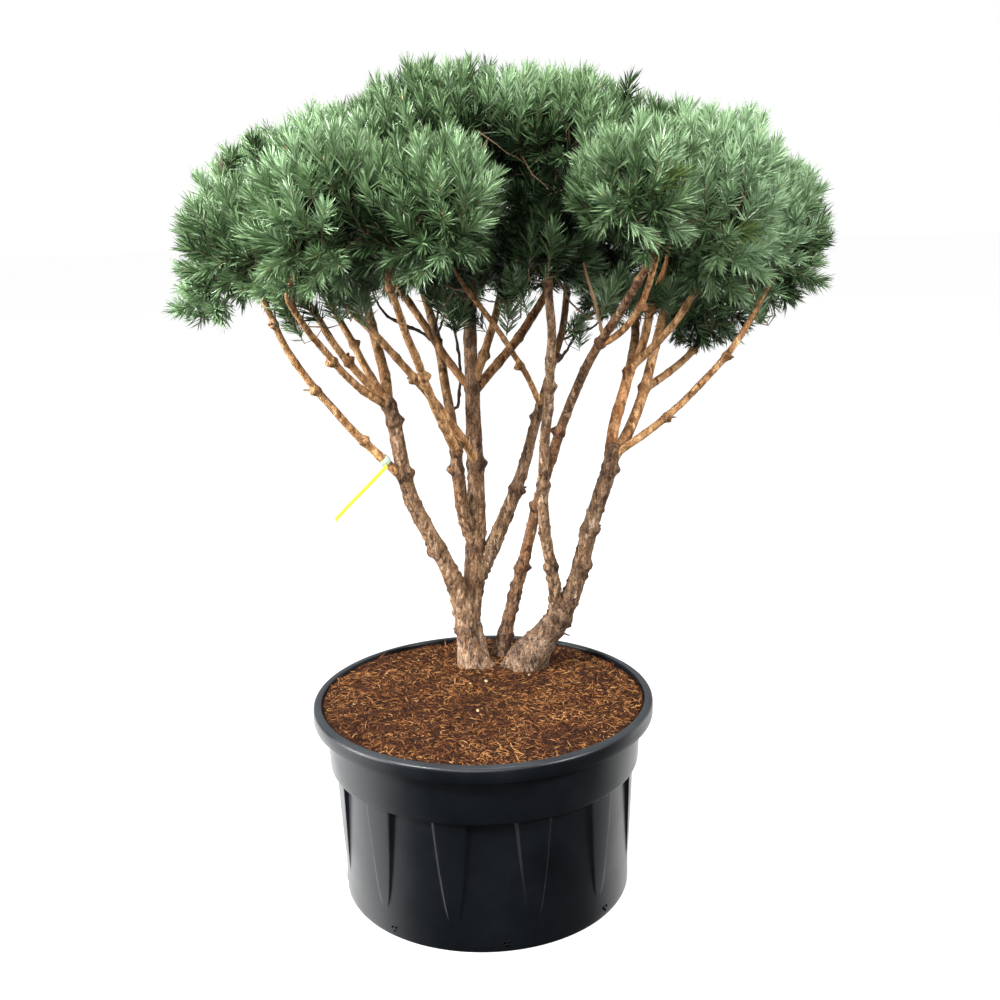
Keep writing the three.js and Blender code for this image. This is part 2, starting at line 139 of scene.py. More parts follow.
# thin bare twigs under the crown: points in mm, and the radii at their two ends
SPURS = [
    (((-402, -120, 1332), (-404, -118, 1356), (-399, -116, 1392)), 2.8, 2.0, 0),
    (((-80, 300, 1266), (-70, 298, 1292), (-56, 296, 1330)), 3.0, 2.0, 0),
    (((-90, 300, 1272), (-80, 303, 1312), (-64, 305, 1370)), 3.4, 2.2, 0),
    (((-101, 300, 1244), (-130, 296, 1266), (-161, 292, 1279), (-203, 292, 1301), (-222, 290, 1330), (-238, 288, 1372)), 4.2, 2.4, 0),
    (((-40, 214, 1094), (-36, 222, 1130), (-31, 222, 1175), (-36, 222, 1229), (-44, 224, 1280), (-48, 226, 1345)), 3.8, 2.8, 0),
    (((-233, -30, 1343), (-253, -28, 1366), (-285, -26, 1402)), 3.6, 2.4, 1),
    (((-12, 232, 1348), (-25, 238, 1368), (-46, 242, 1402)), 3.4, 2.2, 0),
    (((211, 396, 1216), (236, 400, 1230), (264, 402, 1238), (300, 404, 1252), (330, 404, 1280)), 3.8, 2.2, 0),
    (((215, 400, 1226), (236, 398, 1248), (262, 396, 1285)), 3.0, 1.8, 0),
    (((206, 384, 1166), (228, 380, 1196), (252, 378, 1236), (270, 376, 1262)), 4.0, 2.2, 0),
    (((268, -104, 1288), (263, -102, 1318), (257, -100, 1350), (244, -98, 1390), (230, -96, 1440)), 4.4, 2.6, 1),
]
STEMS = ("trunk_left", "trunk_centre", "trunk_right", "stem_leaning", "stem_centre_left", "stem_middle", "stem_front")
MM = 0.001
PADS_M = {n: (np.array(c) * MM, np.array(h) * MM) for n, (c, h) in PADS.items()}
LIMB_BY_NAME = {row[0]: row for row in LIMBS}


# ------------------------------------------------------------------ mesh helpers
def unit(v):
    v = np.asarray(v, float)
    return v / np.maximum(np.linalg.norm(v, axis=-1, keepdims=True), 1e-12)


def lattice(ix, iy, iz, seed):
    h = (ix * 374761393 + iy * 668265263 + iz * 1442695041 + seed * 974634777) & 0xFFFFFFFF
    h = ((h ^ (h >> 13)) * 1274126177) & 0xFFFFFFFF
    h = ((h ^ (h >> 16)) * 2246822519) & 0xFFFFFFFF
    return ((h ^ (h >> 15)) & 0xFFFFFF) / float(0xFFFFFF) * 2.0 - 1.0


def noise(p, seed=0):
    """Smooth value noise from -1 to 1 at the points p."""
    p = np.asarray(p, float)
    i = np.floor(p).astype(np.int64)
    f = p - i
    u = f * f * (3 - 2 * f)
    out = 0.0
    for dx in (0, 1):
        for dy in (0, 1):
            for dz in (0, 1):
                w = (u[:, 0] if dx else 1 - u[:, 0]) * (u[:, 1] if dy else 1 - u[:, 1]) * (u[:, 2] if dz else 1 - u[:, 2])
                out = out + w * lattice(i[:, 0] + dx, i[:, 1] + dy, i[:, 2] + dz, seed)
    return out


def make_piece(name, verts, faces, materials, index=None, smooth=False, sharp=None):
    """A mesh object from vertices and faces of one size, with one material index a face."""
    verts = np.ascontiguousarray(verts, np.float32)
    faces = np.ascontiguousarray(faces, np.int32)
    k = faces.shape[1]
    me = bpy.data.meshes.new(name)
    me.vertices.add(len(verts))
    me.vertices.foreach_set("co", verts.ravel())
    me.loops.add(faces.size)
    me.loops.foreach_set("vertex_index", faces.ravel())
    me.polygons.add(len(faces))
    me.polygons.foreach_set("loop_start", np.arange(0, faces.size, k, dtype=np.int32))
    me.polygons.foreach_set("loop_total", np.full(len(faces), k, np.int32))
    if index is not None:
        me.polygons.foreach_set("material_index", np.ascontiguousarray(index, np.int32))
    me.polygons.foreach_set("use_smooth", np.full(len(faces), bool(smooth)))
    for m in materials:
        me.materials.append(m)
    me.update(calc_edges=True)
    if smooth and sharp:
        me.set_sharp_from_angle(angle=math.radians(sharp))
    ob = bpy.data.objects.new(name, me)
    bpy.context.scene.collection.objects.link(ob)
    return ob


class Gather:
    """Collects triangles of many small things into one mesh."""

    def __init__(self):
        self.v, self.f, self.m, self.n = [], [], [], 0

    def add(self, v, f, m):
        v, f = np.asarray(v, float), np.asarray(f, int)
        self.v.append(v)
        self.f.append(f + self.n)
        self.m.append(np.full(len(f), m) if np.isscalar(m) else np.asarray(m))
        self.n += len(v)

    def piece(self, name, materials, smooth=False, sharp=None):
        return make_piece(name, np.concatenate(self.v), np.concatenate(self.f), materials, np.concatenate(self.m), smooth, sharp)


def tube_frames(path):
    """Directions across a path that don't twist about it."""
    t = np.gradient(path, axis=0)
    t = unit(t)
    a = np.array([1.0, 0, 0]) if abs(t[0][0]) < 0.8 else np.array([0, 1.0, 0])
    n = unit(a - t[0] * (a @ t[0]))
    ns = [n]
    for i in range(1, len(path)):
        n = n - t[i] * (n @ t[i])
        n = n / max(np.linalg.norm(n), 1e-9)
        ns.append(n)
    ns = np.array(ns)
    return t, ns, np.cross(t, ns)


def grid_faces(rows, cols):
    """Triangles of a closed ring grid of rows by cols vertices."""
    i, j = np.meshgrid(np.arange(rows - 1), np.arange(cols), indexing="ij")
    a = i * cols + j
    b = i * cols + (j + 1) % cols
    c, d = a + cols, b + cols
    return np.concatenate([np.stack([a, b, d], -1).reshape(-1, 3), np.stack([a, d, c], -1).reshape(-1, 3)])


def tube(path, radius, sides):
    """A closed tube of few sides along a short path."""
    path = np.asarray(path, float)
    t, n, b = tube_frames(path)
    ang = np.arange(sides) * (2 * math.pi / sides)
    ring = np.cos(ang)[None, :, None] * n[:, None, :] + np.sin(ang)[None, :, None] * b[:, None, :]
    v = path[:, None, :] + ring * np.asarray(radius, float)[:, None, None]
    v = v.reshape(-1, 3)
    f = grid_faces(len(path), sides)
    last = (len(path) - 1) * sides
    cap0 = [[0, k + 1, k] for k in range(1, sides - 1)]
    cap1 = [[last, last + k, last + k + 1] for k in range(1, sides - 1)]
    return v, np.concatenate([f, np.array(cap0 + cap1)])


# ------------------------------------------------------------------ materials
def new_material(name):
    m = bpy.data.materials.new(name)
    m.use_nodes = True
    return m, m.node_tree.nodes, m.node_tree.links, m.node_tree.nodes["Principled BSDF"]


def plain(name, colour, rough=0.6, specular=0.35):
    m, _, _, p = new_material(name)
    p.inputs["Base Color"].default_value = (*colour, 1)
    p.inputs["Roughness"].default_value = rough
    p.inputs["Specular IOR Level"].default_value = specular
    return m


def ramp(nodes, links, source, stops, mode="LINEAR"):
    r = nodes.new("ShaderNodeValToRGB")
    r.color_ramp.interpolation = mode
    els = r.color_ramp.elements
    while len(els) > 1:
        els.remove(els[-1])
    els[0].position, els[0].color = stops[0][0], (*stops[0][1], 1)
    for pos, col in stops[1:]:
        e = els.new(pos)
        e.color = (*col, 1)
    links.new(source, r.inputs["Fac"])
    return r.outputs["Color"]


def grey(v):
    return (v, v, v)


def texture(nodes, links, kind, vector, **values):
    t = nodes.new(kind)
    for k, v in values.items():
        if hasattr(t, k):
            setattr(t, k, v)
        else:
            t.inputs[k.replace("_", " ")].default_value = v
    links.new(vector, t.inputs["Vector"])
    return t


def mapping(nodes, links, scale):
    c = nodes.new("ShaderNodeTexCoord")
    m = nodes.new("ShaderNodeMapping")
    m.inputs["Scale"].default_value = scale
    links.new(c.outputs["Object"], m.inputs["Vector"])
    return m.outputs["Vector"]


def mix_colour(nodes, links, fac, a, b, mode="MIX"):
    m = nodes.new("ShaderNodeMix")
    m.data_type = "RGBA"
    m.blend_type = mode
    if isinstance(fac, (int, float)):
        m.inputs[0].default_value = fac
    else:
        links.new(fac, m.inputs[0])
    for k, x in ((6, a), (7, b)):
        if isinstance(x, tuple):
            m.inputs[k].default_value = (*x, 1)
        else:
            links.new(x, m.inputs[k])
    return m.outputs[2]


def attribute(nodes, name):
    a = nodes.new("ShaderNodeAttribute")
    a.attribute_name = name
    return a.outputs["Fac"]


def times(nodes, links, source, by):
    m = nodes.new("ShaderNodeMath")
    m.operation = "MULTIPLY"
    links.new(source, m.inputs[0])
    if isinstance(by, (int, float)):
        m.inputs[1].default_value = by
    else:
        links.new(by, m.inputs[1])
    return m.outputs["Value"]


def bark_material(name, lower):
    """Flaky bark: grey brown and pinkish low down, orange tan and smoother above."""
    m, nodes, links, p = new_material(name)
    flat = mapping(nodes, links, (1, 1, 0.34))
    fine_v = mapping(nodes, links, (1, 1, 0.50))
    # bend the coordinates, so that the flakes are ragged
    warp = texture(nodes, links, "ShaderNodeTexNoise", flat, Scale=85.0, Detail=4.0, Roughness=0.7)
    shift = nodes.new("ShaderNodeVectorMath")
    shift.operation = "MULTIPLY_ADD"
    shift.inputs[1].default_value = (0.016, 0.016, 0.016)
    links.new(warp.outputs["Color"], shift.inputs[0])
    links.new(flat, shift.inputs[2])
    size = 150.0 if lower else 130.0
    flakes = texture(nodes, links, "ShaderNodeTexVoronoi", shift.outputs["Vector"], feature="F1", Scale=size, Randomness=1.0)
    edges = texture(nodes, links, "ShaderNodeTexVoronoi", shift.outputs["Vector"], feature="DISTANCE_TO_EDGE", Scale=size, Randomness=1.0)
    own = nodes.new("ShaderNodeSeparateColor")
    links.new(flakes.outputs["Color"], own.inputs["Color"])
    patch = texture(nodes, links, "ShaderNodeTexNoise", flat, Scale=42.0, Detail=5.0, Roughness=0.6)
    fine = texture(nodes, links, "ShaderNodeTexNoise", fine_v, Scale=380.0, Detail=6.0, Roughness=0.78)
    if lower:
        tone = ramp(nodes, links, patch.outputs["Fac"], [(0.30, (0.170, 0.094, 0.052)), (0.44, (0.265, 0.162, 0.090)), (0.56, (0.325, 0.212, 0.124)), (0.72, (0.370, 0.270, 0.190))])
        each = ramp(nodes, links, own.outputs["Red"], [(0.0, (0.20, 0.17, 0.15)), (0.14, (0.50, 0.40, 0.33)), (0.34, (0.88, 0.78, 0.66)), (0.72, (1.12, 1.06, 0.98)), (0.88, (1.36, 1.36, 1.38)), (1.0, (1.80, 1.90, 2.10))])
    else:
        tone = ramp(nodes, links, patch.outputs["Fac"], [(0.30, (0.270, 0.140, 0.062)), (0.44, (0.440, 0.245, 0.110)), (0.58, (0.570, 0.345, 0.168)), (0.74, (0.650, 0.445, 0.255))])
        each = ramp(nodes, links, own.outputs["Red"], [(0.0, (0.26, 0.21, 0.18)), (0.16, (0.62, 0.52, 0.44)), (0.38, (0.96, 0.88, 0.78)), (0.72, (1.10, 1.06, 1.00)), (1.0, (1.48, 1.46, 1.44))])
    colour = mix_colour(nodes, links, 1.0, tone, each, "MULTIPLY")
    crack = ramp(nodes, links, edges.outputs["Distance"], [(0.0, grey(0.36 if lower else 0.46)), (0.05, grey(0.72 if lower else 0.78)), (0.13, grey(1.0))])
    colour = mix_colour(nodes, links, 1.0, colour, crack, "MULTIPLY")
    speck = ramp(nodes, links, fine.outputs["Fac"], [(0.36, grey(0.12)), (0.43, grey(0.62)), (0.50, grey(1.0)), (0.64, grey(1.34))])
    colour = mix_colour(nodes, links, 1.0 if lower else 0.88, colour, speck, "MULTIPLY")
    # red brown patches, limbs that are reddish all along, and painted shade: limbs darkened where they lie in the shade
    # of the crown and where they run into the foliage
    blotch = texture(nodes, links, "ShaderNodeTexNoise", flat, Scale=26.0, Detail=3.0, Roughness=0.6)
    reach = ramp(nodes, links, blotch.outputs["Fac"], [(0.40, grey(0.25)), (0.60, grey(1.0))])
    red = mix_colour(nodes, links, 1.0, colour, (0.92, 0.66, 0.52), "MULTIPLY")
    colour = mix_colour(nodes, links, times(nodes, links, reach, attribute(nodes, "ruddy")), colour, red)
    # painted shade: the bark darkened towards grey brown by each limb's painted shade attribute
    deep = mix_colour(nodes, links, 1.0, colour, (0.30, 0.29, 0.28), "MULTIPLY")
    colour = mix_colour(nodes, links, times(nodes, links, attribute(nodes, "painted_limb_shade"), 0.9), colour, deep)
    c = nodes.new("ShaderNodeTexCoord")
    split = nodes.new("ShaderNodeSeparateXYZ")
    links.new(c.outputs["Object"], split.inputs["Vector"])
    # grey and whitish dead scales at the foot
    lichen = texture(nodes, links, "ShaderNodeTexNoise", fine_v, Scale=230.0, Detail=5.0, Roughness=0.8)
    spotty = ramp(nodes, links, lichen.outputs["Fac"], [(0.52, grey(0.0)), (0.57, grey(1.0))])
    near_foot = nodes.new("ShaderNodeMapRange")
    near_foot.inputs["From Min"].default_value = 0.68
    near_foot.inputs["From Max"].default_value = 0.47
    near_foot.inputs["To Min"].default_value = 0.14 if lower else 0.03
    near_foot.inputs["To Max"].default_value = 0.60
    links.new(split.outputs["Z"], near_foot.inputs["Value"])
    colour = mix_colour(nodes, links, times(nodes, links, spotty, near_foot.outputs["Result"]), colour, (0.270, 0.232, 0.204))
    pits = ramp(nodes, links, lichen.outputs["Fac"], [(0.36, grey(0.10)), (0.43, grey(1.0))])
    low_pits = nodes.new("ShaderNodeMapRange")
    low_pits.inputs["From Min"].default_value = 0.85
    low_pits.inputs["From Max"].default_value = 0.47
    low_pits.inputs["To Min"].default_value = 0.35
    low_pits.inputs["To Max"].default_value = 1.0
    links.new(split.outputs["Z"], low_pits.inputs["Value"])
    pitted = mix_colour(nodes, links, 1.0, colour, pits, "MULTIPLY")
    colour = mix_colour(nodes, links, low_pits.outputs["Result"], colour, pitted)
    # knobs and knuckles greyer and darker: rubbed bark, and painted shade about the knobs
    knob_wear_and_shade = mix_colour(nodes, links, 1.0, colour, (0.46, 0.41, 0.39), "MULTIPLY")
    colour = mix_colour(nodes, links, times(nodes, links, attribute(nodes, "knob"), 0.82), colour, knob_wear_and_shade)
    links.new(colour, p.inputs["Base Color"])
    rough = ramp(nodes, links, fine.outputs["Fac"], [(0.3, grey(0.90)), (0.7, grey(0.62))])
    links.new(rough, p.inputs["Roughness"])
    p.inputs["Specular IOR Level"].default_value = 0.20
    bump = nodes.new("ShaderNodeBump")
    bump.inputs["Strength"].default_value = 1.0 if lower else 0.7
    bump.inputs["Distance"].default_value = 0.0030 if lower else 0.0014
    height = mix_colour(nodes, links, 0.55, crack, fine.outputs["Fac"], "MIX")
    links.new(height, bump.inputs["Height"])
    links.new(bump.outputs["Normal"], p.inputs["Normal"])
    return m


def plastic_material():
    """Charcoal moulded plastic with a satin sheen, faint scuffs and dust, and upward faces painted paler as lying dust
    and as a painted reflection.
    """
    m, nodes, links, p = new_material("pot_plastic")
    v = mapping(nodes, links, (1, 1, 1))
    cloud = texture(nodes, links, "ShaderNodeTexNoise", v, Scale=7.0, Detail=5.0, Roughness=0.6)
    scuff_v = mapping(nodes, links, (1, 1, 0.12))
    scuff = texture(nodes, links, "ShaderNodeTexNoise", scuff_v, Scale=130.0, Detail=6.0, Roughness=0.72)
    grain = texture(nodes, links, "ShaderNodeTexNoise", v, Scale=620.0, Detail=2.0, Roughness=0.5)
    base = ramp(nodes, links, cloud.outputs["Fac"], [(0.32, (0.0020, 0.0028, 0.0039)), (0.55, (0.0030, 0.0041, 0.0056)), (0.74, (0.0052, 0.0066, 0.0082))])
    dust = ramp(nodes, links, scuff.outputs["Fac"], [(0.60, grey(0.0)), (0.72, grey(0.35)), (0.85, grey(1.0))])
    fac = nodes.new("ShaderNodeMath")
    fac.operation = "MULTIPLY"
    fac.inputs[1].default_value = 0.35
    links.new(dust, fac.inputs[0])
    colour = mix_colour(nodes, links, fac.outputs["Value"], base, (0.030, 0.032, 0.032))
    # upward faces paler and bluer: partly lying dust, partly a painted reflection of the light above
    facing = nodes.new("ShaderNodeNewGeometry")
    split = nodes.new("ShaderNodeSeparateXYZ")
    links.new(facing.outputs["True Normal"], split.inputs["Vector"])
    upward_dust_and_sheen = ramp(nodes, links, split.outputs["Z"], [(0.35, grey(0.0)), (0.80, grey(0.55)), (1.0, grey(0.70))])
    film = ramp(nodes, links, cloud.outputs["Fac"], [(0.3, grey(0.55)), (0.7, grey(1.0))])
    colour = mix_colour(nodes, links, times(nodes, links, upward_dust_and_sheen, film), colour, (0.050, 0.057, 0.064))
    links.new(colour, p.inputs["Base Color"])
    rough = ramp(nodes, links, cloud.outputs["Fac"], [(0.3, grey(0.30)), (0.7, grey(0.42))])
    links.new(rough, p.inputs["Roughness"])
    p.inputs["Specular IOR Level"].default_value = 0.30
    bump = nodes.new("ShaderNodeBump")
    bump.inputs["Strength"].default_value = 0.12
    bump.inputs["Distance"].default_value = 0.0006
    links.new(grain.outputs["Fac"], bump.inputs["Height"])
    links.new(bump.outputs["Normal"], p.inputs["Normal"])
    return m


def mulch_material():
    m, nodes, links, p = new_material("mulch_ground")
    v = mapping(nodes, links, (1, 1, 1))
    a = texture(nodes, links, "ShaderNodeTexNoise", v, Scale=95.0, Detail=8.0, Roughness=0.75)
    b = texture(nodes, links, "ShaderNodeTexVoronoi", v, feature="F1", Scale=210.0, Randomness=1.0)
    colour = ramp(nodes, links, a.outputs["Fac"], [(0.36, (0.007, 0.002, 0.001)), (0.50, (0.030, 0.010, 0.004)), (0.62, (0.085, 0.033, 0.011)), (0.78, (0.180, 0.085, 0.030))])
    links.new(colour, p.inputs["Base Color"])
    rough = ramp(nodes, links, b.outputs["Distance"], [(0.0, grey(0.95)), (0.6, grey(0.8))])
    links.new(rough, p.inputs["Roughness"])
    p.inputs["Specular IOR Level"].default_value = 0.15
    bump = nodes.new("ShaderNodeBump")
    bump.inputs["Strength"].default_value = 1.0
    bump.inputs["Distance"].default_value = 0.004
    links.new(a.outputs["Fac"], bump.inputs["Height"])
    links.new(bump.outputs["Normal"], p.inputs["Normal"])
    return m


def label_material(name, low, high, rough):
    m, nodes, links, p = new_material(name)
    v = mapping(nodes, links, (1, 1, 1))
    a = texture(nodes, links, "ShaderNodeTexNoise", v, Scale=45.0, Detail=4.0, Roughness=0.6)
    colour = ramp(nodes, links, a.outputs["Fac"], [(0.3, low), (0.7, high)])
    links.new(colour, p.inputs["Base Color"])
    links.new(ramp(nodes, links, a.outputs["Fac"], [(0.3, grey(rough)), (0.7, grey(rough + 0.12))]), p.inputs["Roughness"])
    return m


BARK_STEM = bark_material("bark_stem", True)
BARK_BOUGH = bark_material("bark_bough", False)
PLASTIC = plastic_material()
MULCH = mulch_material()

# needles: one plain colour a spray, from near black, used as painted shade inside the crown, to pale silvery green,
# used as painted light on outer and upward tips
NEEDLE_COLOURS = [
    (0.006, 0.012, 0.005), (0.014, 0.028, 0.010), (0.034, 0.066, 0.024), (0.066, 0.120, 0.046),
    (0.104, 0.178, 0.074), (0.150, 0.246, 0.112), (0.205, 0.322, 0.162), (0.275, 0.408, 0.235),
    (0.076, 0.124, 0.034), (0.120, 0.184, 0.054),
]
NEEDLE_GLOSS = (0.06, 0.12, 0.25, 0.38, 0.45, 0.50, 0.55, 0.60, 0.35, 0.40)
NEEDLES = [plain(f"needle_{i}", c, 0.38, g) for i, (c, g) in enumerate(zip(NEEDLE_COLOURS, NEEDLE_GLOSS))]
TWIGS = [plain("twig_old", (0.050, 0.029, 0.018), 0.8), plain("twig_brown", (0.078, 0.044, 0.024), 0.75), plain("twig_young", (0.120, 0.076, 0.038), 0.7)]
BUDS = [plain("bud_tan", (0.420, 0.290, 0.160), 0.6), plain("bud_brown", (0.300, 0.165, 0.080), 0.6)]
FIBRES = [plain(f"fibre_{i}", c, 0.8, 0.2) for i, c in enumerate([(0.017, 0.005, 0.001), (0.062, 0.018, 0.005), (0.145, 0.052, 0.014), (0.235, 0.096, 0.027), (0.360, 0.180, 0.062)])]


# ------------------------------------------------------------------ limbs
def limb_point(row, t):
    t = np.atleast_1d(np.asarray(t, float))[:, None]
    start = limb_point(LIMB_BY_NAME[row[1]], row[2])[0] if row[1] else np.array(row[2], float) * MM
    p = start + (np.array(row[3]) * MM - start) * t
    p = p + np.array(row[4]) * MM * 6.75 * t * (1 - t) ** 2 + np.array(row[5]) * MM * 6.75 * t * t * (1 - t)
    if len(row) > 9 and row[9]:
        b = 16 * t * t * (1 - t) ** 2
        p = p + np.array(row[9]) * MM * b + np.array(row[10]) * MM * 2 * b * (1 - 2 * t)
    if len(row) > 13:
        p = p + np.array(row[13]) * MM * 149 * t * t * (1 - t) ** 8
    return p


def limb_path(row, step=0.005):
    """Even points along the limb and on to the heart of its pad, and where the bare part ends."""
    pts = limb_point(row, np.linspace(0, 1, 160))
    bare = np.linalg.norm(np.diff(pts, axis=0), axis=1).sum()
    if row[8]:
        c, h = PADS_M[row[8]]
        heart = c - np.array([0, 0, 0.3 * h[2]])
        tip = pts[-1]
        along = unit(tip - limb_point(row, 0.94)[0])
        knee = tip + along * np.linalg.norm(heart - tip) * 0.45
        t = np.linspace(0, 1, 60)[1:, None]
        pts = np.concatenate([pts, tip * (1 - t) ** 2 + knee * 2 * t * (1 - t) + heart * t * t])
    s = np.concatenate([[0], np.cumsum(np.linalg.norm(np.diff(pts, axis=0), axis=1))])
    n = max(8, int(s[-1] / step))
    even = np.linspace(0, s[-1], n)
    pts = np.stack([np.interp(even, s, pts[:, k]) for k in range(3)], -1)
    return pts, even, s[-1], bare


def limb_radius(row, u):
    rooted = row[1] is None
    d = row[6] + (row[7] - row[6]) * (u if rooted else u ** 0.8)
    if rooted:
        d = d * (1 + row[11] * np.exp(-((u / row[12]) ** 1.5)))
    return d * MM / 2


# how reddish each limb's bark is, and how much shade is painted on it, from 0 to 1
BARK_RED_AND_PAINTED_SHADE = {
    "trunk_left": (0.15, 0.08), "trunk_centre": (0.55, 0.35), "stem_leaning": (0.85, 0.25), "stem_front": (0.05, 0.15),
    "trunk_right": (0.25, 0.55), "stem_middle": (0.0, 0.30), "stem_centre_left": (0.35, 0.10),
    "bough_left_back": (0.2, 0.5), "bough_back_left": (0.0, 0.85), "bough_centre_left": (0.4, 0.45), "bough_centre_right": (0.6, 0.5),
    "bough_centre_up": (0.2, 0.6), "bough_middle_back": (0.0, 0.9), "bough_right_back": (0.2, 0.75), "bough_right_inner": (0.7, 0.25),
    "bough_leaning_side": (0.6, 0.2), "bough_right_mid": (0.1, 0.25), "bough_right_rear": (0.1, 0.35), "bough_left_upper": (0.2, 0.3),
    "bough_right_up": (0.7, 0.3), "bough_crossing": (0.0, 0.25),
}
CHILD_SPOTS = {}
for row in LIMBS:
    if row[1]:
        CHILD_SPOTS.setdefault(row[1], []).append(row[2])


def build_limb(row, seed):
    name = row[0]
    stem = name in STEMS
    path, s, length, bare = limb_path(row, 0.0042 if stem else 0.005)
    u = s / length
    r0 = limb_radius(row, u) * (1.13 if name == "trunk_right" else 1.09 if stem else 1.04)
    if row[8]:
        r0 = r0 * np.interp(s - bare, [0, 0.05, 0.12, max(0.13, length - bare)], [1, 0.66, 0.44, 0.26])
    local = np.random.default_rng(seed)
    ease = np.sin(np.clip(u, 0, 1) * math.pi)[:, None] * np.clip(s / 0.08, 0, 1)[:, None]
    wander = np.stack([noise(np.stack([s / 0.085, s * 0 + k * 7.3, s * 0 + seed], -1), 11 + k) for k in range(3)], -1)
    path = path + wander * ease * (0.0026 if stem else 0.0022)
    if row[1]:
        # run back into the wood it grows from, so that the two join in a swelling
        parent = LIMB_BY_NAME[row[1]]
        pr = limb_radius(parent, np.array([row[2]]))[0]
        back = limb_point(parent, max(0.0, row[2] - 0.02))[0] - path[0]
        turn = unit(unit(path[0] - path[4]) * 0.75 + unit(back) * 0.5)
        steps = 7 if name != "trunk_centre" else 26
        if name == "trunk_centre":
            # the two left trunks share one thick foot
            foot = np.array([0.022, 0.166, 0.440])
            t = np.linspace(0, 1, steps)[:, None]
            mid = path[0] + unit(path[0] - path[6]) * 0.05
            extra = (foot * (1 - t) ** 2 + mid * 2 * t * (1 - t) + path[0] * t * t)[:-1]
            grow = np.linspace(0.78, 1.0, len(extra)) * (1 + 0.16 * np.exp(-((np.linspace(0, 1, len(extra)) / 0.2) ** 1.5)))
        else:
            t = np.linspace(1, 0, steps)[:-1, None]
            extra = path[0] + turn * t * pr * 1.1
            grow = np.sqrt(np.clip(1 - (t[:, 0] * 0.96) ** 2, 0.02, 1)) * 1.05
        path = np.concatenate([extra, path])
        gap = np.linalg.norm(np.diff(path[: len(extra) + 1], axis=0), axis=1).sum()
        s = np.concatenate([[0], np.cumsum(np.linalg.norm(np.diff(path, axis=0), axis=1))]) - gap
        r0 = np.concatenate([r0[0] * grow, r0])
    t, n, b = tube_frames(path)
    sides = 30 if r0.max() > 0.02 else (24 if r0.max() > 0.0125 else 16)
    ang = np.arange(sides) * (2 * math.pi / sides)
    ring = np.cos(ang)[None, :, None] * n[:, None, :] + np.sin(ang)[None, :, None] * b[:, None, :]
    # whorl knobs: the stated ones, where limbs leave, and smaller ones between
    knobs = [(x, 1.0, lean) for x, lean in KNOBS.get(name, ())]
    for at in CHILD_SPOTS.get(name, []):
        if all(abs(at * bare - k[0]) > 0.03 for k in knobs):
            knobs.append((at * bare, 0.75, 0))
    x = local.uniform(0.07, 0.12)
    while x < length - 0.02:
        if all(abs(x - k[0]) > 0.045 for k in knobs):
            knobs.append((x, local.uniform(0.12, 0.34), local.choice([-0.5, 0, 0.5])))
        x += local.uniform(0.10, 0.18)
    shape = np.zeros((len(s), sides))
    mask = np.zeros((len(s), sides))
    spots = []
    for where, size, lean in knobs:
        i = int(np.argmin(np.abs(s - where)))
        near = r0[i]
        wide = 0.0055 + 0.30 * near
        high = size * (0.0050 + 0.12 * near)
        lump = 0.45 + 0.30 * noise(np.stack([np.cos(ang) * 1.5, np.sin(ang) * 1.5, ang * 0 + where * 40], -1), seed)
        if lean:
            to = math.atan2(b[i][0], n[i][0]) + (0 if lean > 0 else math.pi)
            lump = lump + abs(lean) * 0.62 * np.exp(-(((ang - to + math.pi) % (2 * math.pi) - math.pi) / 0.85) ** 2)
        bell = np.exp(-(((s - where) / wide) ** 2))
        shape += bell[:, None] * lump[None, :] * high
        mask = np.maximum(mask, (bell * min(1.0, size + 0.15))[:, None] * np.ones(sides))
        # the twigs that once stood here are left as blunt knuckles
        count = local.integers(2, 5) if size > 0.5 else local.integers(0, 3)
        for q in range(count):
            a = local.uniform(0, 2 * math.pi)
            if lean and q < 2:
                a = to + local.normal(0, 0.5)
            at = where + local.uniform(-0.35, 0.35) * wide
            da = np.abs((ang - a + math.pi) % (2 * math.pi) - math.pi) * near
            ds = s - at
            bump = np.exp(-((da[None, :] ** 2 + ds[:, None] ** 2) / (local.uniform(0.0038, 0.0056) ** 2)))
            shape += bump * size * local.uniform(0.0016, 0.0034)
            mask = np.maximum(mask, bump * 1.0)
            spots.append((at, a, size))
    base = path[:, None, :] + ring * r0[:, None, None]
    flat = base.reshape(-1, 3)
    long = flat * (1, 1, 0.55)
    scales = noise(long * 105, seed) * 0.45 + noise(long * 230, seed + 5) * 0.35 + noise(long * 420, seed + 7) * 0.2
    crack = np.abs(noise(long * 130, seed + 9))
    depth = 0.0027 if stem else 0.0017
    low = np.clip((1.25 - flat[:, 2]) / 0.6, 0.35, 1)
    relief = (scales - np.clip(0.16 - crack, 0, 1) * 3.6) * depth * low
    # lifted flakes stand off the wood in places
    flake = noise(long * (170, 170, 120), seed + 21)
    relief = relief + np.clip(flake - 0.36, 0, 1) * (0.0095 if stem else 0.0042) * low
    radius = r0[:, None] + shape + relief.reshape(len(s), sides)
    if row[1] is None:
        foot_zone = np.exp(-((s / 0.075) ** 1.3))[:, None]
        radius = radius * (1 + foot_zone * (0.10 * np.cos(4 * ang + seed) + 0.06 * np.cos(7 * ang + 2))[None, :])
        if name == "trunk_left":
            radius = radius * (1 - 0.17 * foot_zone)
    v = (path[:, None, :] + ring * radius[:, :, None]).reshape(-1, 3)
    f = grid_faces(len(s), sides)
    end = (len(s) - 1) * sides
    tip = path[-1] + t[-1] * r0[-1] * 0.6
    foot = path[0] - t[0] * 0.001
    v = np.concatenate([v, [tip, foot]])
    cap = [[end + k, end + (k + 1) % sides, len(v) - 2] for k in range(sides)] + [[(k + 1) % sides, k, len(v) - 1] for k in range(sides)]
    g = Gather()
    g.add(v, np.concatenate([f, cap]), 0)
    tone = [np.concatenate([mask.ravel(), [0, 0]])]
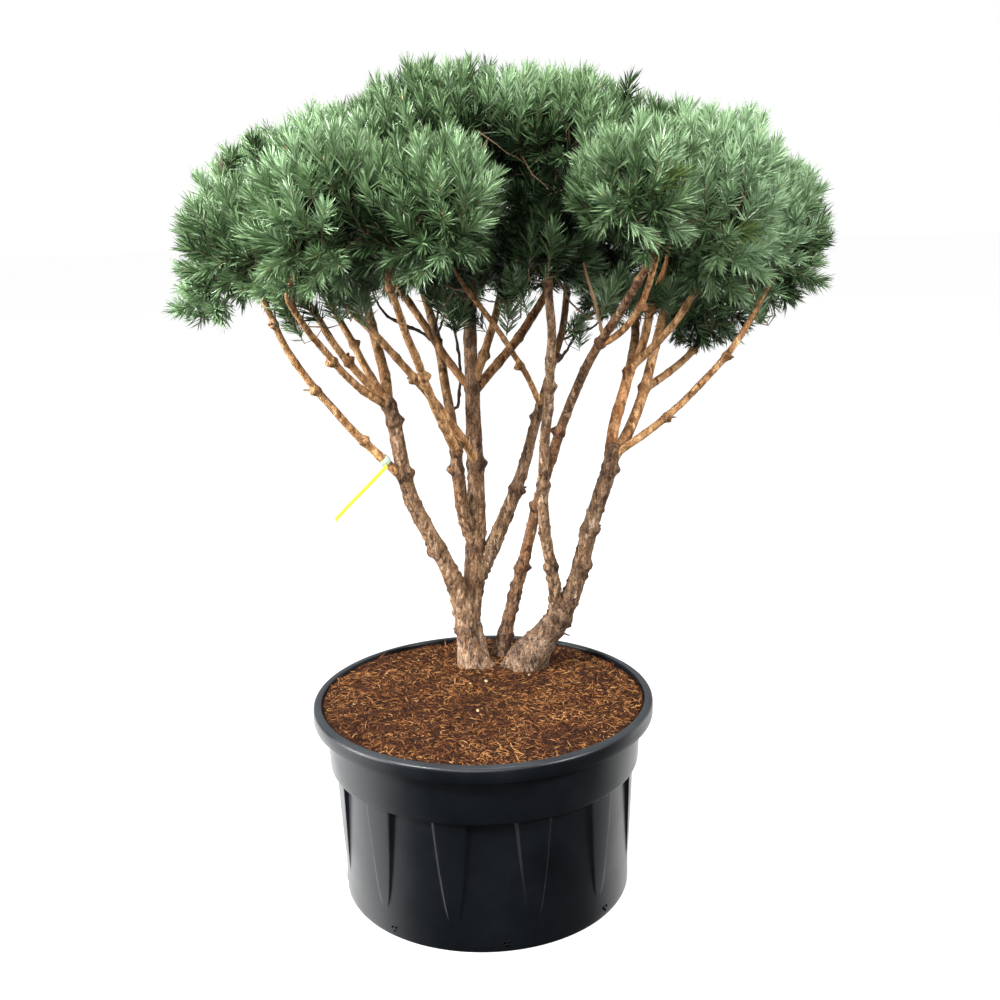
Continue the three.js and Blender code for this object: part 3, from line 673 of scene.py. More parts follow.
    # painted shade: the limb's own amount, rising to 0.75 where it runs into its pad of foliage, and the same on its
    # knuckles
    dark = BARK_RED_AND_PAINTED_SHADE.get(name, (0, 0))[1]
    painted_shade_at = dark + (0.75 - dark) * np.clip((s - bare + 0.05) / 0.10, 0, 1) * (1 if row[8] and dark < 0.75 else 0)
    painted_shades = [np.concatenate([np.repeat(painted_shade_at, sides), [painted_shade_at[-1], painted_shade_at[0]]])]
    for at, a, size in spots:
        if size < 0.5 or at > bare or local.random() > 0.3:
            continue
        i = int(np.argmin(np.abs(s - at)))
        out = unit(math.cos(a) * n[i] + math.sin(a) * b[i] + t[i] * local.uniform(0.0, 0.8))
        rr = r0[i] + size * 0.004
        long_one = local.random() < (0.06 if stem else 0.16)
        reach = rr + (local.uniform(0.012, 0.022) if long_one else local.uniform(0.002, 0.006))
        thick = local.uniform(0.0013, 0.0018) if long_one else local.uniform(0.0020, 0.0032)
        o = path[i]
        sv, sf = tube([o + out * rr * 0.5, o + out * (rr * 0.4 + reach * 0.6), o + out * reach, o + out * (reach + 0.0008)], [thick * 1.5, thick * 1.15, thick * 0.9, thick * 0.45], 6)
        g.add(sv, sf, 0)
        tone.append(np.full(len(sv), 1.0))
        painted_shades.append(np.full(len(sv), painted_shade_at[i]))
    ob = g.piece(f"bark_{name}", [BARK_STEM if stem else BARK_BOUGH], smooth=True, sharp=50)
    mark = ob.data.attributes.new("knob", "FLOAT", "POINT")
    mark.data.foreach_set("value", np.concatenate(tone).astype(np.float32))
    count = len(ob.data.vertices)
    for key, value in (("ruddy", np.full(count, BARK_RED_AND_PAINTED_SHADE.get(name, (0, 0))[0])), ("painted_limb_shade", np.concatenate(painted_shades))):
        tint = ob.data.attributes.new(key, "FLOAT", "POINT")
        tint.data.foreach_set("value", value.astype(np.float32))
    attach(ob, "root")
    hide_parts(name)
    return ob


for k, row in enumerate(LIMBS):
    build_limb(row, 100 + 13 * k)


def build_spurs():
    g = Gather()
    r = np.random.default_rng(515)
    axis = np.concatenate([limb_point(row, np.linspace(0.03, 1, 120)) for row in LIMBS])
    for points, r0, r1, tone in SPURS:
        p = np.array(points) * MM
        # each starts in the nearest wood below it
        gap = axis - p[0]
        cost = np.linalg.norm(gap, axis=1) + 0.8 * np.clip(gap[:, 2] + 0.004, 0, 1)
        root = axis[int(np.argmin(cost))]
        print("spur", points[0], "to wood", round(float(np.linalg.norm(root - p[0])) * 1000))
        p = np.concatenate([[root], p])
        t = np.linspace(0, len(p) - 1, 4 * len(p))
        q = np.stack([np.interp(t, np.arange(len(p)), p[:, k]) for k in range(3)], -1)
        q[1:-1] = (q[:-2] + q[1:-1] * 2 + q[2:]) / 4
        q = q + r.normal(0, 0.0006, q.shape)
        rad = np.interp(t, [0, len(p) - 1], [r0, r1]) * MM
        rad = rad * (1 + 0.35 * (r.random(len(t)) < 0.2)) * (1 + 0.06 * r.normal(0, 1, len(t)))
        v, f = tube(q, rad, 8)
        g.add(v, f, tone)
    ob = g.piece("twigs_bare", [plain("twig_dead", (0.040, 0.025, 0.016), 0.85), plain("twig_tan", (0.200, 0.115, 0.055), 0.75)], smooth=True, sharp=50)
    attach(ob, "root")


build_spurs()


# ------------------------------------------------------------------ shoots
class Shoots:
    pass


CROWN_C = np.array([0.06, 0.13, 1.30])
CROWN_H = np.array([0.74, 0.66, 0.58])


def level_in(p, name):
    """1 on a pad's rounded outline, under 1 inside it."""
    c, h = PADS_M[name]
    return (np.abs((p - c) / h) ** 2.25).sum(-1) ** (1 / 2.25)


def sphere_points(n, r):
    i = np.arange(n) + 0.5
    z = 1 - 2 * i / n
    a = math.pi * (1 + 5 ** 0.5) * i + r
    q = np.sqrt(np.maximum(0, 1 - z * z))
    return np.stack([q * np.cos(a), q * np.sin(a), z], -1)


def skin_samples(name, count, r):
    """Even points over a pad's solid, with the face's direction at each."""
    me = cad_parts[name].data
    co = np.empty(len(me.vertices) * 3)
    me.vertices.foreach_get("co", co)
    co = co.reshape(-1, 3)
    tri = np.array([[p.vertices[0], p.vertices[k], p.vertices[k + 1]] for p in me.polygons for k in range(1, len(p.vertices) - 1)])
    a, b, c = co[tri[:, 0]], co[tri[:, 1]], co[tri[:, 2]]
    cross = np.cross(b - a, c - a)
    area = np.linalg.norm(cross, axis=1)
    pick = r.choice(len(tri), count, p=area / area.sum())
    u, v = r.random(count), r.random(count)
    over = u + v > 1
    u[over], v[over] = 1 - u[over], 1 - v[over]
    return a[pick] + u[:, None] * (b - a)[pick] + v[:, None] * (c - a)[pick], unit(cross[pick])


# small masses that close the gaps between the pads: pad, centre and half sizes in mm, and tone, a painted lightening or
# darkening, the dark ones as painted shade in the gaps
CLUMPS = [
    ("pad_left_outer", (-560, -20, 1405), (78, 110, 62), 0.3),
    ("pad_left_outer", (-556, -60, 1364), (86, 70, 46), 0.3),
    ("pad_left_front", (-330, -190, 1408), (92, 110, 44), -0.2),
    ("pad_top_left", (-246, -90, 1412), (80, 90, 40), -0.6),
    ("pad_top_left", (-196, 90, 1746), (80, 120, 44), 0.2),
    ("pad_top", (-128, 130, 1790), (60, 100, 40), 0.2),
    ("pad_top_right", (318, 110, 1762), (80, 110, 48), 0.2),
    ("pad_top_right_outer", (560, 150, 1680), (76, 120, 50), 0.5),
    ("pad_right_outer", (668, 180, 1620), (66, 110, 50), 0.4),
    ("pad_centre_left", (92, -60, 1412), (58, 90, 46), -1.6),
    ("pad_centre_low", (150, -20, 1540), (96, 70, 130), -3.2),
    ("pad_centre_left", (-92, 80, 1400), (90, 110, 40), -1.6),
    ("pad_right_low", (545, 270, 1238), (92, 110, 46), -1.2),
    ("pad_back_right", (262, 300, 1292), (52, 70, 34), -0.8),
    ("pad_left_front", (-179, -240, 1577), (52, 70, 78), -0.4),
    ("pad_centre_left", (-180, -220, 1482), (50, 62, 52), -0.6),
    ("pad_top_right", (102, 90, 1716), (66, 80, 56), -0.6),
    ("pad_centre_low", (158, -160, 1558), (52, 50, 40), -1.2),
    ("pad_centre_low", (149, -150, 1462), (66, 62, 52), -0.3),
    ("pad_left_outer", (-540, -50, 1388), (78, 80, 44), 0.1),
    ("pad_left_front", (-410, -150, 1406), (92, 80, 40), 0.0),
    ("pad_right_front", (330, -280, 1478), (72, 70, 52), -0.1),
    ("pad_centre_low", (74, 50, 1386), (62, 80, 34), -1.0),
    ("pad_centre_back_low", (-39, 150, 1364), (70, 90, 34), -1.2),
    ("pad_top_left", (-250, -100, 1410), (80, 70, 36), -0.2),
    ("pad_top_right_outer", (400, 90, 1372), (78, 90, 36), -0.8),
    ("pad_top_right", (310, 10, 1386), (66, 90, 36), -0.8),
    ("pad_right_low", (650, 100, 1344), (72, 90, 40), 0.0),
    ("pad_top", (-40, 100, 1838), (78, 80, 28), 0.2),
    ("pad_left_front", (-345, -310, 1414), (58, 52, 34), 0.2),
    ("pad_centre_left", (-150, -330, 1452), (54, 50, 36), 0.1),
    ("pad_left_outer", (-512, 80, 1640), (70, 90, 44), 0.2),
    ("pad_top_left", (-410, 115, 1694), (84, 90, 40), 0.3),
    ("pad_top_right", (105, 220, 1640), (84, 90, 64), -3.0),
    ("pad_right_low", (470, 260, 1400), (74, 80, 54), -2.0),
    ("pad_back_centre", (180, 345, 1560), (104, 96, 120), -0.6),
    ("pad_top", (-70, -110, 1636), (112, 54, 52), -0.9),
    ("pad_right_mid", (392, -60, 1560), (62, 62, 100), -0.6),
    ("pad_left_outer", (-430, 170, 1596), (72, 62, 64), -0.5),
    ("pad_centre_low", (148, -205, 1502), (60, 50, 58), -0.2),
    ("pad_centre_low", (196, -190, 1488), (46, 46, 42), -0.6),
    ("pad_centre_low", (150, -190, 1572), (40, 36, 32), -1.4),
    ("pad_top", (160, -40, 1650), (60, 44, 52), -3.4),
    ("pad_back_centre", (136, 240, 1690), (90, 80, 70), -2.4),
]
# where no shoot reaches: centre and half sizes in mm
BARE = [
    ((-660, 200, 1600), (112, 340, 96)), ((664, 240, 1748), (112, 220, 76)), ((430, 160, 1796), (60, 160, 26)), ((-215, 170, 1830), (104, 190, 44)),
    ((855, 150, 1500), (86, 240, 60)), ((290, 120, 1850), (60, 120, 26)),
    ((-620, -20, 1596), (66, 260, 56)), ((640, 60, 1716), (50, 200, 40)), ((806, 150, 1350), (60, 220, 40)),
    ((262, 150, 1240), (60, 300, 38)), ((495, 200, 1186), (70, 260, 42)), ((-415, 100, 1314), (70, 220, 36)),
    ((-640, 150, 1312), (60, 250, 26)), ((-262, 150, 1814), (70, 220, 26)), ((-480, 290, 1796), (120, 320, 48)), ((-600, 340, 1732), (84, 240, 46)),
    ((-458, 100, 1756), (64, 240, 40)), ((-530, 45, 1722), (52, 90, 34)), ((318, 110, 1832), (50, 120, 24)),
]


BLEND = 6.2


def skin_level(p):
    """Over 0 inside the pads' blended outline, under 0 outside it."""
    total = 0.0
    for name in PADS_M:
        total = total + np.exp(-BLEND * (level_in(p, name) - 1))
    return np.log(total) / BLEND


def to_skin(p, rounds):
    """Moves points onto the blended outline, and gives its direction there."""
    for _ in range(rounds):
        here = skin_level(p)
        step = 0.006
        slope = np.stack([skin_level(p + np.eye(3)[k] * step) - here for k in range(3)], -1)
        way = unit(-slope)
        size = np.maximum(np.linalg.norm(slope, axis=1) / step, 3.0)
        p = p + way * np.clip(here / size, -0.03, 0.03)[:, None]
    return p, way


def spread(points, order, gap_at, cell):
    """Keeps points in the given order, none nearer to another than its own gap."""
    keys = np.floor(points / cell).astype(int)
    near = [(x, y, z) for x in (-1, 0, 1) for y in (-1, 0, 1) for z in (-1, 0, 1)]
    grid, chosen = {}, []
    for i in order:
        kx, ky, kz = keys[i]
        p, limit = points[i], gap_at[i] ** 2
        close = False
        for dx, dy, dz in near:
            for q in grid.get((kx + dx, ky + dy, kz + dz), ()):
                if (p[0] - q[0]) ** 2 + (p[1] - q[1]) ** 2 + (p[2] - q[2]) ** 2 < limit:
                    close = True
                    break
            if close:
                break
        if not close:
            grid.setdefault((kx, ky, kz), []).append(tuple(p))
            chosen.append(i)
    return np.array(chosen)


def place_shoots():
    """Shoot tips spread over the pads' skins in tufted clusters, with a layer inside that is given dark colours as
    painted shade.
    """
    spot, pad = [], []
    names = list(PADS_M)
    up = np.array([0, 0, 1.0])
    for k, name in enumerate(names):
        loc, face = skin_samples(name, 1500, rng)
        spot.append(loc)
        pad.append(np.full(len(loc), k))
    spot, way = to_skin(np.concatenate(spot), 5)
    pad = np.concatenate(pad)
    sound = np.abs(skin_level(spot)) < 0.03
    spot, way, pad = spot[sound], way[sound], pad[sound]
    outer = spot - way * rng.uniform(0.018, 0.030, len(spot))[:, None]
    inner = rng.random(len(spot)) < 0.5
    deep = spot[inner] - way[inner] * rng.uniform(0.088, 0.128, inner.sum())[:, None]
    tips, normals = [outer, deep], [way, way[inner]]
    spots, pads = [spot, spot[inner]], [pad, pad[inner]]
    layer, tone = [np.zeros(len(outer)), np.ones(len(deep))], [np.zeros(len(outer)), np.zeros(len(deep))]
    for name, c, h, shade in CLUMPS:
        c, h = np.array(c) * MM, np.array(h) * MM
        d = sphere_points(420, c[0] * 9)
        loc = c + d * h * rng.uniform(0.86, 1.0, (420, 1))
        out = unit((loc - c) / h ** 2)
        tip = loc - out * 0.014
        ok = skin_level(tip) < 0.12
        tips.append(tip[ok])
        normals.append(out[ok])
        spots.append(loc[ok])
        layer.append(np.zeros(ok.sum()))
        pads.append(np.full(ok.sum(), names.index(name)))
        tone.append(np.full(ok.sum(), shade))
    tips, normals, spot = np.concatenate(tips), np.concatenate(normals), np.concatenate(spots)
    layer, pad, tone = np.concatenate(layer), np.concatenate(pads), np.concatenate(tone)
    # clusters: each bulges about its own heart, and the seams between lie deeper, with painted shade making them darker
    seeds = spread(spot, rng.permutation(len(spot)), rng.uniform(0.088, 0.128, len(spot)), 0.13)
    hearts = spot[seeds] - normals[seeds] * 0.075
    far = np.sqrt(((spot[:, None, :] - spot[seeds][None]) ** 2).sum(-1))
    two = np.partition(far, 1, axis=1)[:, :2]
    first = far.argmin(1)
    seam = 1 - np.clip((two[:, 1] - two[:, 0]) / 0.050, 0, 1)
    seam = seam * seam * (3 - 2 * seam)
    own_shade = rng.normal(0, 0.55, len(seeds))[first]
    own_depth = rng.uniform(0.0, 0.020, len(seeds))[first]
    hollow = np.clip(-noise(spot * 8.5, 5) - 0.12, 0, 1)
    keep = ~((hollow > 0.25) & (rng.random(len(tips)) < 0.40) & (layer == 0) & (tone > -2))
    keep &= ~((seam > 0.75) & (rng.random(len(tips)) < 0.35) & (layer == 0))
    tips = tips - normals * ((hollow * 0.034 + seam * 0.022 + own_depth) * (layer == 0))[:, None]
    for c, h in BARE:
        inside = (((tips - np.array(c) * MM) / (np.array(h) * MM)) ** 2).sum(1)
        keep &= inside > 1
        # next to such a spot the deeper shoots are the outer ones
        layer = np.where(inside < 4.6, 0, layer)
    gap_at = np.where(layer == 0, np.where(normals[:, 2] < -0.75, 0.050, np.where(normals[:, 2] > 0.45, 0.0360, 0.0405)), 0.054)
    order = rng.permutation(np.where(keep)[0])
    order = order[np.argsort(layer[order], kind="stable")]
    chosen = spread(tips, order, gap_at, 0.058)
    for _ in range(2):
        apart = np.sqrt(((tips[chosen][:, None, :] - tips[chosen][None]) ** 2).sum(-1))
        chosen = chosen[((apart < 0.085).sum(1) > 4) | (tips[chosen, 2] < 1.60)]
    s = Shoots()
    s.tip, s.normal, s.layer, s.pad = tips[chosen], normals[chosen], layer[chosen], pad[chosen]
    # painted shade: hollows and seams darker, together with the clumps' tones and a random tone for each cluster
    s.shade = (tone + own_shade - 1.7 * hollow - 1.3 * seam)[chosen]
    n = len(chosen)
    fan = unit(s.tip - hearts[first[chosen]])
    crown = unit((s.tip - CROWN_C) / CROWN_H ** 2)
    high = np.clip((s.tip[:, 2] - 1.42) / 0.26, 0, 1)
    lift = (0.06 + (0.50 + 0.36 * high) * np.clip(s.normal[:, 2] / 0.6 + 0.80, 0, 1))[:, None]
    s.dir = unit(0.34 * s.normal + 0.42 * fan + 0.24 * crown + lift * up + rng.normal(0, 0.13, (n, 3)))
    s.length = np.where(s.layer == 0, rng.uniform(0.058, 0.088, n), rng.uniform(0.045, 0.070, n))
    # some shoots stand out past their neighbours
    proud = rng.random(n) < 0.12
    s.tip = s.tip + s.dir * np.where(proud & (s.layer == 0), rng.uniform(0.004, 0.012, n), 0)[:, None]
    foot = s.dir[:, 2] * s.length * np.clip(-s.normal[:, 2] * 1.6, 0, 1)
    s.tip = s.tip + np.clip(foot, 0, 0.05)[:, None] * up
    s.crown = crown
    return s


shoots = place_shoots()
NAMES = list(PADS_M)


def grow_twigs():
    """Twigs from each pad's limbs to its shoots: every shoot joins the nearest wood that leads its way."""
    g = Gather()
    wood = []
    for k, name in enumerate(NAMES):
        mine = np.where(shoots.pad == k)[0]
        nodes, ways, lens, caps, kinds = [], [], [], [], []
        for row in LIMBS:
            if row[8] != name:
                continue
            path, s, length, bare = limb_path(row, 0.02)
            r = limb_radius(row, s / length)
            way = unit(np.gradient(path, axis=0))
            for i in np.where(s > bare - 0.02)[0]:
                nodes.append(path[i])
                ways.append(way[i])
                lens.append(s[i] - bare)
                caps.append(r[i])
        roots = len(nodes)
        nodes = [np.array(x) for x in nodes]
        base = shoots.tip[mine] - shoots.dir[mine] * shoots.length[mine][:, None]
        start = np.array(nodes[:roots])
        near = np.sqrt(((base[:, None, :] - start[None]) ** 2).sum(-1)).min(1)
        order = np.argsort(near)
        P = np.array(nodes)
        W = np.array(ways)
        Ls = np.array(lens)
        runs = []
        for o in order:
            B, D = base[o], shoots.dir[mine[o]]
            gap = B - P
            dist = np.sqrt((gap ** 2).sum(1))
            lead = (gap * D).sum(1) / np.maximum(dist, 1e-6)
            follow = (gap * W).sum(1) / np.maximum(dist, 1e-6)
            cost = dist + 0.28 * Ls + 0.055 * (1 - lead) + 0.030 * (1 - follow)
            i = int(np.argmin(cost))
            N, d = P[i], dist[i]
            out = unit(W[i] * (0.6 if gap[i] @ W[i] > 0 else 0.0) + gap[i] / max(d, 1e-6))
            m = int(np.clip(round(d / 0.026), 2, 6))
            t = np.linspace(0, 1, m + 1)[:, None]
            # a shoot below its wood is reached from above, without a loop hanging down
            flat = unit(D * np.array([1, 1, 0.15 if D[2] > 0 > gap[i][2] - 0.02 else 1.0]))
            came = gap[i] / max(d, 1e-6)
            flat = unit(flat + max(0.0, 0.45 - float(flat @ came)) * came)
            c1, c2 = N + out * d * 0.33, B - flat * d * 0.36
            c2[2] = max(c2[2], min(N[2], B[2]) - 0.003)
            curve = N * (1 - t) ** 3 + 3 * c1 * t * (1 - t) ** 2 + 3 * c2 * t * t * (1 - t) + B * t ** 3
            sag = rng.normal(0, 0.0022, curve.shape) * np.sin(t * math.pi)
            curve = curve + sag
            first = len(P)
            seg = np.linalg.norm(np.diff(curve, axis=0), axis=1)
            P = np.concatenate([P, curve[1:]])
            W = np.concatenate([W, unit(np.gradient(curve, axis=0))[1:]])
            Ls = np.concatenate([Ls, Ls[i] + np.cumsum(seg)])
            runs.append((i, first, len(P), mine[o], curve))
        load = np.zeros(len(P))
        for i, a, z, who, curve in reversed(runs):
            load[z - 1] += 1
            load[a:z] = np.cumsum(load[a:z][::-1])[::-1]
            load[i] += load[a]
        for i, a, z, who, curve in runs:
            carry = np.concatenate([[load[a]], load[a:z]])
            r = 0.00115 * carry ** (1 / 2.6)
            r = np.minimum(r, 0.0045)
            D, L = shoots.dir[who], shoots.length[who]
            end = shoots.tip[who]
            full = np.concatenate([curve, [curve[-1] + D * L * 0.5, end]])
            rr = np.concatenate([r, [0.0011, 0.0009]])
            sides = 6 if r[0] > 0.0026 else 4
            v, f = tube(full, rr, sides)
            tone = 0 if r[0] > 0.0028 else (1 if r[0] > 0.0016 else 2)
            # the last stretch is this year's orange bark
            cut = np.full(len(f), tone)
            rings = len(full) - 1
            q = rings * sides
            faces_row = np.concatenate([np.repeat(np.arange(rings), sides)] * 2)
            cut[: 2 * q] = np.where(faces_row >= rings - 3, 2, tone)
            g.add(v, f, cut)
        wood.append(len(runs))
    return g


twigs = grow_twigs()


# ------------------------------------------------------------------ needles
def spray_colours():
    n = len(shoots.tip)
    p = shoots.tip
    outer = (np.abs((p - CROWN_C) / CROWN_H) ** 2).sum(1) ** 0.5
    # painted light and shade: upward-facing and outer sprays lighter, the clusters' hollows and seams and the dark
    # clumps darker
    tone = 4.2 + 1.1 * shoots.normal[:, 2] + 2.0 * np.clip(outer - 0.85, -0.6, 0.4) + shoots.shade
    tone += 0.6 * noise(p * 5.0, 3) + rng.normal(0, 0.45, n)
    # painted light: a paler patch on the right of the crown, where the light falls
    painted_light_patch = 1.8 * np.exp(-(((p - np.array([0.60, -0.13, 1.555])) / np.array([0.13, 0.36, 0.15])) ** 2).sum(1))
    tone += 4.0 * painted_light_patch - 0.10
    # painted shade: the inner layer darker, partly as older needles
    tone = np.where(shoots.layer == 1, np.minimum(tone - 3.8, 0.9), tone)
    # painted light: the low sprays at the front lighter
    low = np.clip((1.50 - p[:, 2]) / 0.16, 0, 1)
    tone += 2.9 * low * (shoots.normal[:, 1] < 0.2) * (p[:, 0] < 0.30)
    # painted shade: the sprays in the hollow between the left and right heads are given darker colours
    painted_hollow_shade = np.exp(-(((p - np.array([0.10, 0.02, 1.58])) / np.array([0.085, 0.30, 0.15])) ** 2).sum(1))
    tone -= 2.4 * painted_hollow_shade * (shoots.layer == 0)
    index = np.clip(np.round(tone), 0, 7).astype(int)
    olive = (noise(p * 9.0, 21) > 0.50) & (rng.random(n) < 0.07) & (shoots.layer == 0)
    index[olive] = np.where(tone[olive] > 4.2, 9, 8)
    return index


shoots.colour = spray_colours()
HALF_WIDTH = 0.00126


def needle_mesh(which, seed):
    """Needles on these shoots: each a folded blade with its own outline."""
    r = np.random.default_rng(seed)
    per = np.where(shoots.layer[which] == 0, 108, 56)
    own = np.repeat(np.arange(len(which)), per)
    n = len(own)
    D = shoots.dir[which][own]
    E = shoots.tip[which][own]
    L = shoots.length[which][own]
    helper = np.where(np.abs(D[:, :1]) < 0.8, np.array([[1.0, 0, 0]]), np.array([[0, 1.0, 0]]))
    U = unit(helper - D * (helper * D).sum(1, keepdims=True))
    V = np.cross(D, U)
    s = r.random(n) ** 0.82
    turn = r.uniform(0, 2 * math.pi, n)
    lean = np.radians((58 - 34 * s ** 1.15) + r.normal(0, 8, n))
    w = D * np.cos(lean)[:, None] + (U * np.cos(turn)[:, None] + V * np.sin(turn)[:, None]) * np.sin(lean)[:, None]
    w = unit(w + np.array([0, 0, 0.08]))
    size = 0.0440 * (0.80 + 0.34 * r.random(n)) * (1 - 0.12 * s) * r.choice([1.0, 1.0, 0.84], n)
    base = E - D * (L * (1 - s) * 0.95)[:, None] + w * 0.001
    side = unit(np.cross(w, r.normal(0, 1, (n, 3))))
    rise = np.cross(w, side)
    hw = HALF_WIDTH * (0.85 + 0.35 * r.random(n)) * np.where(shoots.layer[which][own] == 1, 1.5, 1.0)
    high = base + w * (size * 0.66)[:, None] + rise * (size * 0.035)[:, None]
    p0, p1 = base + side * (hw * 0.75)[:, None], base - side * (hw * 0.75)[:, None]
    p2, p3 = high - side * hw[:, None], high + side * hw[:, None]
    p4 = base + w * size[:, None]
    v = np.stack([p0, p1, p2, p3, p4], 1).reshape(-1, 3)
    k = np.arange(n)[:, None] * 5
    f = np.concatenate([k + np.array([[0, 1, 2]]), k + np.array([[0, 2, 3]]), k + np.array([[3, 2, 4]])])
    # the spray's own colour; its lower needles a step darker, as painted shade and as older needles; single ones a step
    # or two off, as the needles' own mixed tones and as painted glints
    m = shoots.colour[which][own]
    tone_step_and_glint = r.choice([-2, -1, 0, 1, 2], n, p=[0.08, 0.28, 0.36, 0.20, 0.08]) - (s < 0.40)
    m = np.where(m < 8, np.clip(m + np.where(shoots.layer[which][own] == 1, np.minimum(tone_step_and_glint, 0), tone_step_and_glint), 0, 7), m)
    return v, f, np.concatenate([m, m, m])


total = 0
groups = {}
# sectors of the crown, so that no piece grows too large
sector = {
    "left_front": ("pad_left_front", "pad_left_outer"),
    "centre_front": ("pad_centre_left", "pad_centre_low", "pad_centre_back_low"),
    "right_front": ("pad_right_front", "pad_right_mid"),
    "right_outer": ("pad_right_outer", "pad_right_low", "pad_top_right_outer"),
    "top": ("pad_top", "pad_top_right", "pad_top_left"),
    "back_left": ("pad_back_left_outer", "pad_back_left"),
    "back_right": ("pad_back_centre", "pad_back_right", "pad_back_right_outer"),
}
for gi, (label, pads) in enumerate(sector.items()):
    which = np.where(np.isin(shoots.pad, [NAMES.index(p) for p in pads]))[0]
    v, f, m = needle_mesh(which, 900 + gi)
    total += len(f)
    ob = make_piece(f"needles_{label}", v, f, NEEDLES, m)
    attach(ob, "root")
    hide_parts(*pads)
    print("piece", ob.name, "shoots", len(which), "triangles", len(f))

ob = twigs.piece("twigs_crown", TWIGS, smooth=True, sharp=60)
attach(ob, "root")
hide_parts(*PADS)
print("twigs", len(ob.data.polygons), "needle triangles", total, "shoots", len(shoots.tip))


def bud_mesh():
    g = Gather()
    r = np.random.default_rng(77)
    pick = np.where((shoots.layer == 0) & (r.random(len(shoots.tip)) < 0.35))[0]
    for i in pick:
        D, E = shoots.dir[i], shoots.tip[i]
        size = r.uniform(0.60, 0.95)
        path = np.array([E - D * 0.002, E + D * 0.003 * size, E + D * 0.0075 * size, E + D * 0.0115 * size])
        v, f = tube(path, np.array([0.0013, 0.0027, 0.0021, 0.0004]) * size, 5)
        g.add(v, f, 0 if r.random() < 0.65 else 1)
    return g


ob = bud_mesh().piece("buds", BUDS, smooth=True, sharp=60)
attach(ob, "root")


# ------------------------------------------------------------------ container
POT_H, RIM_R, RIM_IN, SHOULDER_LOW, STEP_Z = 0.461, 0.390, 0.370, 0.356, 0.317
WALL_LOW, WALL_TOP, RIB_TOP_R = 0.333, 0.334, 0.345
RIBS, RIB_PHASE = 12, math.radians(-103)
RIB_TOP_W, RIB_LOW_W, RIB_SIDE, RIB_LOW_Z = 0.072, 0.010, 0.0075, 0.070


